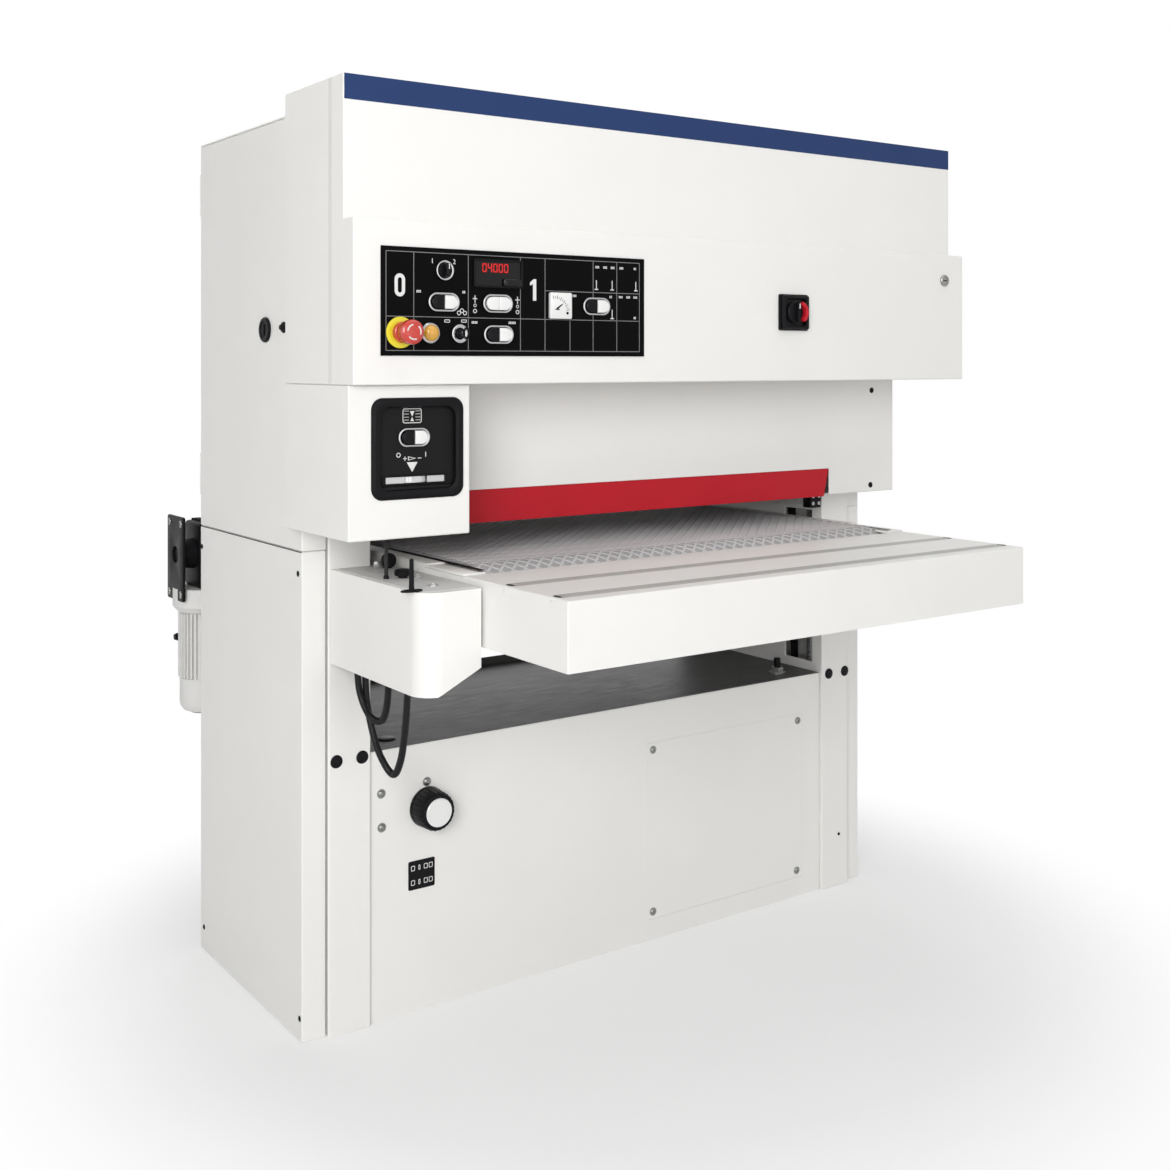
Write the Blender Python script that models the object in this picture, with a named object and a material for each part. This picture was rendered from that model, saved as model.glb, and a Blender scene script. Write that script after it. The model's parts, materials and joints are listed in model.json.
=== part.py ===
"""Wide-belt sanding machine: a fixed cabinet with a sanding head over a feed table that rises and falls.

Metres, +Z up, operator at -Y. The origin is under the middle of the whole machine, on the floor.
"""

import math

import bmesh
import bpy
from mathutils import Matrix, Vector

# Modelling margins, which no finished face shows
BITE = 0.002            # how far a fused piece reaches into its neighbour
CUT = 0.05              # how far a cutter reaches past the wall it opens

# Clearances
GAP = 0.0003            # between faces that touch
RUNNING = 0.0005        # round a turning shaft
SLIDING = 0.003         # between the table's box and the posts it passes

# Cabinet
CABINET_WIDTH = 1.460
CABINET_DEPTH = 0.540
CABINET_TOP = 1.726
SEAM_Z = 0.909          # joint between the lower and the upper side covers
COVER_DEPTH = 0.048     # how far the side covers stand out from the posts
COVER_SETBACK = 0.012   # side covers start this far behind the posts' front
POST_WIDTH = 0.087
SHEET = 0.003
FRAME_SHEET = 0.005
DECK_Z = 0.518
FRONT_WALL_SETBACK = 0.008
POST_SLOT_BOTTOM = 0.540
POST_SLOT_HALF = 0.047
PLATE = 0.002           # access plate, set into the front wall
ACCESS_LIP = 0.012      # the plate overlaps its opening by this much
SHAFT_ROOM = 0.004      # round a shaft where it passes a wall
REAR_PANEL_BOTTOM = 1.000
REAR_PANEL_SETBACK = 0.007
SPIGOT_R = 0.075
SPIGOT_HEIGHT = 0.075
SPIGOT_WALL = 0.002
SPIGOT_INSET = 0.130    # from the rear
LOCK_STEM_R = 0.010
KNOB_STEM_R = 0.008
RETURN = 0.006          # ears of the hood reach this far past the posts' front

# Table
APRON_REACH = 0.606     # apron's front, ahead of the posts
TABLE_REAR_REACH = 0.185
APRON_LENGTH = 0.319
APRON_BOTTOM = 0.773
APRON_TOP = 0.887
TABLE_SIDE_ROOM = 0.036 # between the table and the posts
BELT_TOP = 0.897
BELT_MARGIN = 0.049     # from the table's sides to the feed belt's edges
BELT_THICK = 0.004
FEED_ROLLER_R = 0.058
APRON_ROLLER_R = 0.0125
APRON_ROLLER_PROUD = 0.0012
CHEEK = 0.024           # thickness of the table's side members
LIFT_UP = 0.050         # the table's travel above this place
ARM_Z = (0.800, 0.840)  # lifting arms that reach into the posts
ARM_HALF = 0.030
FEED_SHAFT_R = 0.015
BED_PLATE = 0.006
APRON_ROLLER_Y = (0.046, 0.186)     # behind the apron's front
APRON_ROLLER_SHAFT_R = 0.005

# Sanding head
HEAD_Z = 0.952          # lowest point of the abrasive belt
CONTACT_R = 0.070
TENSION_R = 0.045
ROLLER_CENTRES = 0.582
ABRASIVE_THICK = 0.0015
ROLLER_END_ROOM = 0.100 # between the sanding rollers and the posts
ABRASIVE_MARGIN = 0.010 # from the rollers' ends to the abrasive belt's edges
CONTACT_SHAFT_R = 0.020
TENSION_SHAFT_R = 0.012
ARM_CLEAR = 0.010       # between a roller's end and the arm that carries it
ARM_THICK = 0.020
BELT_ROOM = 0.0085      # round the abrasive belt where it slides out
WINDOW_ROOM = 0.028     # above the belt
WINDOW_BOTTOM = 1.010
WINDOW_INSET = 0.060    # from the posts' front and rear faces
GUIDE_X = 0.300
GUIDE_R = 0.014
GUIDE_SEAT = 0.070      # how far the guide rods reach into the beam
YOKE_HEIGHT = 0.040
YOKE_HALF_DEPTH = 0.028
PRESSURE_R = 0.025
PRESSURE_BELOW = 0.003  # pressure rollers hang this far below the abrasive belt
PRESSURE_SPACING = 0.125
PRESSURE_SHAFT_R = 0.010
YOKE_BOTTOM = 1.460
BEAM_BOTTOM = 1.130
BEAM_TOP = 1.400
BEAM_HALF_DEPTH = 0.042

# Hood, control door and thickness box
HOOD_OVERHANG = 0.036   # past the side covers
HOOD_TOP = 1.750
HOOD_BOTTOM = 1.2213
HOOD_REACH = 0.239
HOOD_GROOVE = 0.186     # front cover begins this far ahead of the posts
DOOR_REACH = 0.279
DOOR_OVERHANG = 0.001   # past the hood
DOOR_TOP = 1.503
PANEL_REACH = 0.102
PANEL_BOTTOM = 0.956
BOX_REACH = 0.258
BOX_RIGHT = 0.200
BOX_BOTTOM = 0.957
GUARD_INSET = 0.213     # from the cabinet's sides
GUARD_TOP = 1.016
GUARD_BOTTOM = 0.953
GUARD_SLANT = 0.015

# Lifting screws
SCREW_R = 0.012
SCREW_INSET = 0.080     # from the front and rear faces of the posts
SCREW_TOP = 0.930
SCREW_SHELF_Z = 0.500
SCREW_SHELF_THICK = 0.006
SCREW_FLANGE_R = 0.020
SCREW_FLANGE = 0.012

# Drive
MOTOR_R = 0.105
MOTOR_LENGTH = 0.360
MOTOR_AXIS_Z = 0.250
MOTOR_SHAFT_R = 0.019
MOTOR_PULLEY_R = 0.075
HEAD_PULLEY_R = 0.055
PULLEY_WIDTH = 0.030
VBELT_THICK = 0.008
VBELT_WIDTH = 0.018
MOTOR_SHELF_TOP = 0.118
MOTOR_SHELF_THICK = 0.010
MOTOR_SHELF_LEFT = 0.050
MOTOR_FEET_HALF = 0.090
GEARBOX_HALF = 0.050
GEARBOX_BELOW = 0.075
GEARBOX_ABOVE = 0.070
GEARBOX_PLATE_Z = (0.735, 0.920)
TERMINAL_Z = (0.610, 0.690)

# Controls
FASCIA_THICK = 0.002
FASCIA_LIP = 0.015      # the fascia overlaps its opening by this much
CAP_SIZE = (0.0215, 0.022)
CAP_PITCH = 0.0225
CAP_PROUD = 0.006
CAP_TRAVEL = 0.004
SWITCH_STEM_R = 0.006
ESTOP_STEM_R = 0.011
PANEL_DEPTH = 0.008     # the thickness panel lies this far inside its box
WHEEL_R = 0.046
WHEEL_HALF = 0.006
WHEEL_AXLE_R = 0.006

# Cable box and conduits
CABLE_BOX_Z = (0.700, 0.875)
CABLE_BOX_REACH = 0.355
CABLE_BOX_R = 0.040
CABLE_BOX_CHAMFER = (0.087, 0.045)
SPACER_Z = 0.830
CONDUIT_R = 0.0065
SHORT_ROUTE = [(0.086, -0.0015, 0.742), (0.086, -0.026, 0.741), (0.088, -0.036, 0.700), (0.092, -0.042, 0.645),
               (0.101, -0.066, 0.606), (0.108, -0.100, 0.606), (0.107, -0.122, 0.645), (0.106, -0.128, 0.700),
               (0.106, -0.130, 0.790), (0.106, -0.130, 0.871)]
LONG_ROUTE = [(0.108, -0.0015, 0.742), (0.108, -0.026, 0.741), (0.104, -0.037, 0.700), (0.106, -0.044, 0.620),
              (0.114, -0.070, 0.545), (0.119, -0.118, 0.510), (0.114, -0.160, 0.545), (0.111, -0.185, 0.620),
              (0.110, -0.195, 0.700), (0.110, -0.200, 0.790), (0.110, -0.200, 0.871)]

# Places that follow from the sizes above
FRONT = APRON_REACH - (APRON_REACH + CABINET_DEPTH + TABLE_REAR_REACH) / 2
REAR = FRONT + CABINET_DEPTH
MIDDLE = FRONT + CABINET_DEPTH / 2
LEFT = -CABINET_WIDTH / 2
RIGHT = CABINET_WIDTH / 2
POST_OUT = RIGHT - COVER_DEPTH
POST_IN = POST_OUT - POST_WIDTH
CONTACT_Z = HEAD_Z + ABRASIVE_THICK + CONTACT_R
TENSION_Z = CONTACT_Z + ROLLER_CENTRES
PRESSURE_Z = HEAD_Z - PRESSURE_BELOW + PRESSURE_R
TABLE_FRONT = FRONT - APRON_REACH
TABLE_REAR = REAR + TABLE_REAR_REACH
CHEEK_FRONT = TABLE_FRONT + APRON_LENGTH + 0.002
BELT_R = FEED_ROLLER_R + BELT_THICK
FEED_AXIS_Z = BELT_TOP - BELT_R
IDLER_Y = CHEEK_FRONT + BELT_R + 0.003
DRIVE_Y = TABLE_REAR - BELT_R - 0.013
HALF_APRON = POST_IN - TABLE_SIDE_ROOM
HALF_BELT = HALF_APRON - BELT_MARGIN
HALF_ROLLER = POST_IN - ROLLER_END_ROOM
HALF_ABRASIVE = HALF_ROLLER - ABRASIVE_MARGIN
HOOD_OUT = RIGHT + HOOD_OVERHANG
DOOR_OUT = HOOD_OUT + DOOR_OVERHANG
GUARD_OUT = RIGHT - GUARD_INSET
PULLEY_IN = POST_OUT + 0.006
PULLEY_OUT = PULLEY_IN + PULLEY_WIDTH
SCREW_X = (POST_IN + POST_OUT) / 2
ARM_IN = HALF_ROLLER + ARM_CLEAR
ARM_OUT = ARM_IN + ARM_THICK
COVER_TOP = CABINET_TOP - SHEET - GAP
SCREW_PLACES = {"front": FRONT + SCREW_INSET, "rear": REAR - SCREW_INSET}

# Places of the small parts
ACCESS_X = (RIGHT - 0.654, RIGHT - 0.192)
ACCESS_Z = (0.045, 0.430)
KNOB_X = LEFT + 0.262
KNOB_Z = 0.392
DOOR_LOCK = (FRONT + 0.180, 1.323)
BOX_PANEL_X = (LEFT + 0.012, LEFT + 0.180)
BOX_PANEL_Z = (1.030, 1.193)
GAUGE_ROD = (LEFT + 0.080, FRONT - 0.170, 0)
FASCIA_X = (LEFT + 0.013, LEFT + 0.572)
FASCIA_Z = (1.271, 1.457)
DOUBLE_BUTTONS = {
    "power": (LEFT + 0.1317, 1.3640),
    "belt": (LEFT + 0.2412, 1.3640),
    "feed": (LEFT + 0.2428, 1.3090),
    "mode": (LEFT + 0.4570, 1.3640),
}
THICKNESS_BUTTON = (LEFT + 0.0905, 1.130)
WHEEL = (LEFT + 0.096, 1.0567)
ESTOP = (LEFT + 0.0484, 1.3106)
SELECTOR = (LEFT + 0.1335, 1.4190)
KEY = (LEFT + 0.1634, 1.3098)
MAIN_SWITCH = (LEFT + 0.9625, 1.3630)
FEED_MOTOR_X = LEFT + 0.050
GEARBOX_X = (LEFT + 0.020, -HALF_APRON - GAP)
CABLE_BOX_X = (LEFT + 0.0500, LEFT + 0.1650)
PROBE = (LEFT + 0.068, FRONT - 0.306, 0)


def material(name, colour, roughness, metallic=0.0):
    made = bpy.data.materials.new(name)
    made.use_nodes = True
    shader = made.node_tree.nodes["Principled BSDF"]
    shader.inputs["Base Color"].default_value = (*colour, 1.0)
    shader.inputs["Roughness"].default_value = roughness
    shader.inputs["Metallic"].default_value = metallic
    return made


WHITE = (0.83, 0.83, 0.80)
GREY = (0.30, 0.30, 0.31)
BLACK = (0.015, 0.015, 0.016)
STEEL = (0.55, 0.56, 0.58)
RED = (0.48, 0.02, 0.03)
RUBBER = (0.26, 0.26, 0.26)
BROWN = (0.20, 0.10, 0.06)


def painted(name):
    return material(name, WHITE, 0.40)


def steel(name):
    return material(name, STEEL, 0.32, 1.0)


def plastic(name, colour=BLACK):
    return material(name, colour, 0.45)


def place(name, built, surface=None):
    """Turns a bmesh into an object; a helper shape has no material and isn't rendered."""
    bmesh.ops.recalc_face_normals(built, faces=built.faces)
    mesh = bpy.data.meshes.new(name)
    built.to_mesh(mesh)
    built.free()
    made = bpy.data.objects.new(name, mesh)
    bpy.context.scene.collection.objects.link(made)
    if surface is None:
        made.hide_render = True
        made.display_type = "WIRE"
    else:
        mesh.materials.append(surface)
    return made


def block(name, x, y, z, surface=None):
    built = bmesh.new()
    size = Vector((x[1] - x[0], y[1] - y[0], z[1] - z[0]))
    centre = Vector((x[0] + x[1], y[0] + y[1], z[0] + z[1])) / 2
    matrix = Matrix.Translation(centre) @ Matrix.Diagonal((*size, 1.0))
    bmesh.ops.create_cube(built, size=1.0, matrix=matrix)
    return place(name, built, surface)


def prism(name, outline, axis, low, high, surface=None):
    """Extrudes a closed outline along an axis; the outline's pairs are the two other axes in order."""
    built = bmesh.new()
    others = [i for i in range(3) if i != axis]
    corners = []
    for a, b in outline:
        point = [0.0, 0.0, 0.0]
        point[others[0]] = a
        point[others[1]] = b
        point[axis] = low
        corners.append(built.verts.new(point))
    face = built.faces.new(corners)
    moved = bmesh.ops.extrude_face_region(built, geom=[face])
    shift = Vector([high - low if i == axis else 0.0 for i in range(3)])
    ends = [item for item in moved["geom"] if isinstance(item, bmesh.types.BMVert)]
    bmesh.ops.translate(built, verts=ends, vec=shift)
    return place(name, built, surface)


def turned(name, profile, axis, centre, surface=None, sides=32):
    """Turns a profile of (distance along the axis, radius) about an axis through centre."""
    built = bmesh.new()
    rings = []
    for along, radius in profile:
        ring = []
        for step in range(sides):
            angle = 2 * math.pi * (step + 0.5) / sides
            point = [0.0, 0.0, 0.0]
            point[axis] = along
            point[(axis + 1) % 3] = radius * math.cos(angle)
            point[(axis + 2) % 3] = radius * math.sin(angle)
            ring.append(built.verts.new(Vector(point) + Vector(centre)))
        rings.append(ring)
    for first, second in zip(rings, rings[1:]):
        for step in range(sides):
            after = (step + 1) % sides
            built.faces.new((first[step], first[after], second[after], second[step]))
    built.faces.new(rings[0])
    built.faces.new(rings[-1])
    made = place(name, built, surface)
    made.data.shade_smooth()
    made.data.set_sharp_from_angle(angle=math.radians(35))
    return made


def rod(name, axis, low, high, radius, centre, surface=None, sides=24):
    return turned(name, [(low, radius), (high, radius)], axis, centre, surface, sides)


def arc(centre, radius, start, end, steps):
    """Points on a round stretch, angles in degrees."""
    points = []
    for step in range(steps + 1):
        angle = math.radians(start + (end - start) * step / max(steps, 1))
        points.append((centre[0] + radius * math.cos(angle), centre[1] + radius * math.sin(angle)))
    return points


def wrap(centre, radius, start, end, steps):
    """A belt's arc round a roller: its flats lie at the radius, and its ends are where the straight runs begin."""
    half = (end - start) / steps / 2
    corners = arc(centre, radius / math.cos(math.radians(half)), start + half, end - half, steps - 1)
    return arc(centre, radius, start, start, 0) + corners + arc(centre, radius, end, end, 0)


def combine(target, operation, others):
    for other in others:
        modifier = target.modifiers.new(operation.lower() + "_" + other.name, "BOOLEAN")
        modifier.operation = operation
        modifier.solver = "EXACT"
        modifier.object = other
    return target


def carve(target, *others):
    return combine(target, "DIFFERENCE", others)


def fuse(target, *others):
    return combine(target, "UNION", others)


def inset(span, margin):
    return span[0] + margin, span[1] - margin


def around(centre, half):
    return centre - half, centre + half


def shell(name, x, y, z, wall, open_sides, surface):
    """A sheet box; open_sides names the sides left open, such as -z."""
    inner = []
    for letter, (low, high) in zip("xyz", (x, y, z)):
        low = low - wall if "-" + letter in open_sides else low + wall
        high = high + wall if "+" + letter in open_sides else high - wall
        inner.append((low, high))
    body = block(name, x, y, z, surface)
    return carve(body, block(name + "_hollow", *inner))


def pivot(target, point):
    """Moves an object's origin onto its joint axis, with its shape where it was."""
    target.data.transform(Matrix.Translation(-Vector(point)))
    target.location = point
    return target


def group(name, members):
    holder = bpy.data.objects.new(name, None)
    bpy.context.scene.collection.objects.link(holder)
    for member in members:
        member.parent = holder


# ---------------------------------------------------------------- cabinet

def make_base():
    wall_front = FRONT + FRONT_WALL_SETBACK
    half = POST_IN - GAP
    base = shell("base_frame", (-half, half), (wall_front, REAR - FRONT_WALL_SETBACK), (0, DECK_Z),
                 FRAME_SHEET, ("-z",), painted("base_paint"))
    wall_rear = REAR - FRONT_WALL_SETBACK
    shelf = block("motor_shelf", (MOTOR_SHELF_LEFT, half - BITE), inset((wall_front, wall_rear), BITE),
                  (MOTOR_SHELF_TOP - MOTOR_SHELF_THICK, MOTOR_SHELF_TOP))
    fuse(base, shelf)
    opening = block("access_opening", inset(ACCESS_X, ACCESS_LIP), (FRONT - CUT, FRONT + CUT),
                    inset(ACCESS_Z, ACCESS_LIP))
    recess = block("access_recess", ACCESS_X, (FRONT - CUT, wall_front + PLATE + GAP), ACCESS_Z)
    shaft_hole = rod("base_shaft_hole", 0, half - CUT, half + CUT, MOTOR_SHAFT_R + SHAFT_ROOM,
                     (0, MIDDLE, MOTOR_AXIS_Z))
    knob_hole = rod("knob_hole", 1, FRONT - CUT, FRONT + CUT, KNOB_STEM_R + RUNNING, (KNOB_X, 0, KNOB_Z), sides=16)
    carve(base, opening, recess, shaft_hole, knob_hole)
    plate = block("access_plate", inset(ACCESS_X, GAP), (wall_front, wall_front + PLATE), inset(ACCESS_Z, GAP),
                  painted("access_paint"))
    return [base, plate]


def make_column(side):
    """A folded post, open towards its side cover, with slots for the table's lifting arms."""
    name = "left_column" if side < 0 else "right_column"
    outer, inner = side * POST_OUT, side * POST_IN
    low, high = min(outer, inner), max(outer, inner)
    open_side = "-x" if side < 0 else "+x"
    column = shell(name, (low, high), (FRONT, REAR), (0, COVER_TOP), FRAME_SHEET, (open_side,),
                   painted(name + "_paint"))
    shelf = block(name + "_shelf", inset((low, high), BITE), inset((FRONT, REAR), BITE),
                  (SCREW_SHELF_Z - SCREW_SHELF_THICK, SCREW_SHELF_Z))
    fuse(column, shelf)
    web = around(inner, 0.020)
    slot_z = (POST_SLOT_BOTTOM, ARM_Z[1] + LIFT_UP + 0.015)
    cuts = []
    for label, y in SCREW_PLACES.items():
        cuts.append(block(f"{name}_{label}_slot", web, around(y, POST_SLOT_HALF), slot_z))
    for label, way in (("infeed", -1), ("outfeed", 1)):
        cuts.append(rod(f"{name}_{label}_hole", 0, web[0], web[1], PRESSURE_SHAFT_R + RUNNING,
                        (0, MIDDLE + way * PRESSURE_SPACING, PRESSURE_Z), sides=16))
    if side < 0:
        window_top = TENSION_Z + TENSION_R + ABRASIVE_THICK + WINDOW_ROOM
        cuts.append(block("belt_window", web, inset((FRONT, REAR), WINDOW_INSET), (WINDOW_BOTTOM, window_top)))
        cuts.append(block("belt_window_foot", web, around(MIDDLE, CONTACT_R + ABRASIVE_THICK + BELT_ROOM),
                          (HEAD_Z - 2 * BELT_ROOM, WINDOW_BOTTOM + 0.010)))
    else:
        for label, radius, z in (("head", CONTACT_SHAFT_R, CONTACT_Z), ("motor", MOTOR_SHAFT_R, MOTOR_AXIS_Z)):
            cuts.append(rod(label + "_shaft_hole", 0, *web, radius + SHAFT_ROOM, (0, MIDDLE, z)))
    carve(column, *cuts)
    return column


def make_side_cover(name, side, z, open_sides, surface):
    outer, inner = side * RIGHT, side * (POST_OUT + GAP)
    return shell(name, (min(outer, inner), max(outer, inner)), (FRONT + COVER_SETBACK, REAR), z,
                 SHEET, open_sides, surface)


def make_covers():
    lower = (0, SEAM_Z - GAP)
    upper = (SEAM_Z + GAP, COVER_TOP)
    left_lower = make_side_cover("left_lower_cover", -1, lower, ("+x",), painted("left_lower_paint"))
    right_lower = make_side_cover("right_lower_cover", 1, lower, ("-x", "+z"), painted("right_lower_paint"))
    right_upper = make_side_cover("right_upper_cover", 1, upper, ("-x", "-z"), painted("right_upper_paint"))
    back = REAR - REAR_PANEL_SETBACK
    rear = block("upper_rear_panel", inset((-POST_IN, POST_IN), GAP), (back - SHEET, back),
                 (REAR_PANEL_BOTTOM, COVER_TOP), painted("rear_panel_paint"))
    roof = block("roof_panel", (LEFT, RIGHT), (FRONT + COVER_SETBACK, REAR), (CABINET_TOP - SHEET, CABINET_TOP),
                 painted("roof_paint"))
    centre = (0, REAR - SPIGOT_INSET, 0)
    spigot = rod("dust_spigot", 2, CABINET_TOP - SHEET / 2, CABINET_TOP + SPIGOT_HEIGHT, SPIGOT_R, centre)
    bore = rod("dust_bore", 2, CABINET_TOP - CUT, CABINET_TOP + SPIGOT_HEIGHT + CUT, SPIGOT_R - SPIGOT_WALL, centre)
    fuse(roof, spigot)
    carve(roof, bore)
    return [left_lower, right_lower, right_upper, rear, roof]


def make_left_door():
    """The door for changing the abrasive belt; it swings on its rear outer corner."""
    door = make_side_cover("left_upper_door", -1, (SEAM_Z + GAP, COVER_TOP), ("+x",), painted("left_door_paint"))
    y, z = DOOR_LOCK
    carve(door, rod("lock_hole", 0, *around(LEFT, CUT), LOCK_STEM_R + GAP, (0, y, z), sides=16))
    pivot(door, (LEFT, REAR, 0))
    lock = turned("door_lock", [(LEFT - 0.006, 0.021), (LEFT - 0.005, 0.024), (LEFT - GAP, 0.024),
                                (LEFT - GAP, LOCK_STEM_R), (LEFT + 0.012, LOCK_STEM_R)],
                  0, (0, y, z), plastic("lock_black"), sides=16)
    pivot(lock, (LEFT, y, z))
    return [door, lock]


# ---------------------------------------------------------------- hood and front panels

def make_hood():
    half = HOOD_OUT
    seam = FRONT - HOOD_GROOVE
    hood = shell("hood_shell", (-half, half), (seam + GAP, FRONT - GAP), (HOOD_BOTTOM, HOOD_TOP), SHEET,
                 ("-y",), painted("hood_paint"))
    for side, name in ((-1, "left"), (1, "right")):
        x = sorted((side * half, side * (POST_OUT + SHEET + 0.001)))
        fuse(hood, block(f"hood_{name}_return", x, (FRONT - 0.010, FRONT + RETURN), (HOOD_BOTTOM, HOOD_TOP)))
    cover = shell("hood_front_cover", (-half, half), (FRONT - HOOD_REACH, seam), (HOOD_BOTTOM, HOOD_TOP),
                  SHEET, ("+y",), painted("hood_front_paint"))
    carve(cover, block("electrics_opening", inset((-half, half), 0.100), around(FRONT - HOOD_REACH, HOOD_REACH / 10),
                       inset((HOOD_BOTTOM, DOOR_TOP), 0.041)))
    return [hood, cover]


def make_front_panel():
    y = (FRONT - PANEL_REACH, FRONT - GAP)
    z = (PANEL_BOTTOM, HOOD_BOTTOM - GAP)
    panel = shell("upper_front_panel", (LEFT + BOX_RIGHT + GAP, RIGHT - 0.001), y, z, SHEET, ("+y",),
                  painted("front_panel_paint"))
    notch = block("guard_notch", (-GUARD_OUT, GUARD_OUT), inset(y, -CUT),
                  (PANEL_BOTTOM - CUT, GUARD_TOP + RUNNING))
    carve(panel, notch)
    box = shell("thickness_box", (-HOOD_OUT, LEFT + BOX_RIGHT), (FRONT - BOX_REACH, FRONT - GAP),
                (BOX_BOTTOM, HOOD_BOTTOM - GAP), SHEET, ("+y",), painted("thickness_box_paint"))
    ear = block("thickness_box_return", (-HOOD_OUT, -POST_OUT - SHEET - 0.001), (FRONT - 0.010, FRONT + RETURN),
                (BOX_BOTTOM, HOOD_BOTTOM - GAP))
    fuse(box, ear)
    window = block("thickness_window", BOX_PANEL_X, around(FRONT - BOX_REACH, 0.020), BOX_PANEL_Z)
    gauge_hole = rod("gauge_hole", 2, *around(BOX_BOTTOM, 0.010), 0.008, GAUGE_ROD, sides=12)
    carve(box, window, gauge_hole)
    return [panel, box]


def make_red_guard():
    """A trip bar across the feed opening; it swings inwards on its top edge."""
    front = FRONT - PANEL_REACH + 0.002
    left, right = inset((-GUARD_OUT, GUARD_OUT), GAP)
    outline = [(left, GUARD_BOTTOM), (right - GUARD_SLANT, GUARD_BOTTOM), (right, GUARD_TOP), (left, GUARD_TOP)]
    guard = prism("red_guard", outline, 1, front, front + SHEET, material("guard_red", RED, 0.45))
    fuse(guard, block("guard_flange", (left, right), (front + 0.001, front + 0.024),
                      (GUARD_TOP - SHEET, GUARD_TOP)))
    return pivot(guard, (0, front + SHEET / 2, GUARD_TOP))


# ---------------------------------------------------------------- controls

def make_cap(name, x, z, face, surface):
    """One half of a double push button: a rounded key that slides in its panel."""
    cap = block(name, around(x, CAP_SIZE[0] / 2), (face - CAP_PROUD, face + CAP_TRAVEL + 0.003),
                around(z, CAP_SIZE[1] / 2), surface)
    bevel = cap.modifiers.new("rounding", "BEVEL")
    bevel.width = 0.003
    bevel.segments = 2
    bevel.limit_method = "ANGLE"
    return pivot(cap, (x, face, z))


def cap_hole(name, x, z, face):
    return block(name, around(x, CAP_SIZE[0] / 2 + GAP), around(face, CUT), around(z, CAP_SIZE[1] / 2 + GAP))


def make_control_door():
    half = DOOR_OUT
    front = FRONT - DOOR_REACH
    door = shell("control_door", (-half, half), (front, FRONT - HOOD_REACH - GAP), (HOOD_BOTTOM, DOOR_TOP),
                 SHEET, ("+y",), painted("control_door_paint"))
    behind = block("fascia_opening", inset(FASCIA_X, FASCIA_LIP), around(front, 0.010), inset(FASCIA_Z, FASCIA_LIP))
    switch_hole = rod("switch_hole", 1, *around(front, 0.010), SWITCH_STEM_R + RUNNING,
                      (MAIN_SWITCH[0], 0, MAIN_SWITCH[1]), sides=16)
    carve(door, behind, switch_hole)
    pivot(door, (-half, FRONT - HOOD_REACH, 0))
    face = front - GAP - FASCIA_THICK
    fascia = block("control_fascia", FASCIA_X, (face, front - GAP), FASCIA_Z, plastic("fascia_black"))
    pieces = [door, fascia]
    cuts = []
    for name, (x, z) in DOUBLE_BUTTONS.items():
        for label, way, colour in (("off", -1, BLACK), ("on", 1, WHITE)):
            at = x + way * CAP_PITCH / 2
            node = f"{name}_button_{label}"
            pieces.append(make_cap(node, at, z, face, plastic(node + "_colour", colour)))
            cuts.append(cap_hole(node + "_hole", at, z, face))
    stems = {"estop": (ESTOP, ESTOP_STEM_R), "selector": (SELECTOR, SWITCH_STEM_R), "key": (KEY, SWITCH_STEM_R)}
    for name, ((x, z), radius) in stems.items():
        cuts.append(rod(name + "_hole", 1, *around(face, CUT), radius + GAP, (x, 0, z), sides=16))
    carve(fascia, *cuts)
    pieces += make_turning_controls(face, front)
    return pieces


def make_turning_controls(face, front):
    x, z = ESTOP
    estop = turned("estop_button", [(face - 0.052, 0.012), (face - 0.049, 0.018), (face - 0.043, 0.020),
                                    (face - 0.034, 0.020), (face - 0.030, 0.015),
                                    (face - 0.026, ESTOP_STEM_R), (face + 0.008, ESTOP_STEM_R)], 1, (x, 0, z),
                   material("estop_red", RED, 0.4), sides=16)
    pivot(estop, (x, face, z))
    x, z = SELECTOR
    selector = turned("selector_knob", [(face - 0.020, 0.0105), (face - 0.004, 0.0125), (face - GAP, 0.0125),
                                        (face - GAP, SWITCH_STEM_R), (face + 0.010, SWITCH_STEM_R)], 1, (x, 0, z),
                      plastic("selector_black"), sides=16)
    pivot(selector, (x, face, z))
    x, z = KEY
    key = turned("key_switch", [(face - 0.008, 0.009), (face - GAP, 0.009), (face - GAP, SWITCH_STEM_R),
                                (face + 0.010, SWITCH_STEM_R)], 1, (x, 0, z), steel("key_steel"), sides=16)
    fuse(key, block("key_blade", around(x, 0.0012), (face - 0.034, face - 0.004), around(z, 0.011)))
    pivot(key, (x, face, z))
    x, z = MAIN_SWITCH
    back = front - GAP
    handle = turned("main_switch_handle", [(back - 0.008, 0.024), (back, 0.024), (back, SWITCH_STEM_R),
                                           (front + 0.008, SWITCH_STEM_R)], 1, (x, 0, z),
                    material("switch_red", RED, 0.4), sides=24)
    fuse(handle, block("handle_grip", around(x, 0.008), (back - 0.026, back - 0.004), around(z, 0.022)))
    pivot(handle, (x, front, z))
    return [estop, selector, key, handle]


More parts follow.
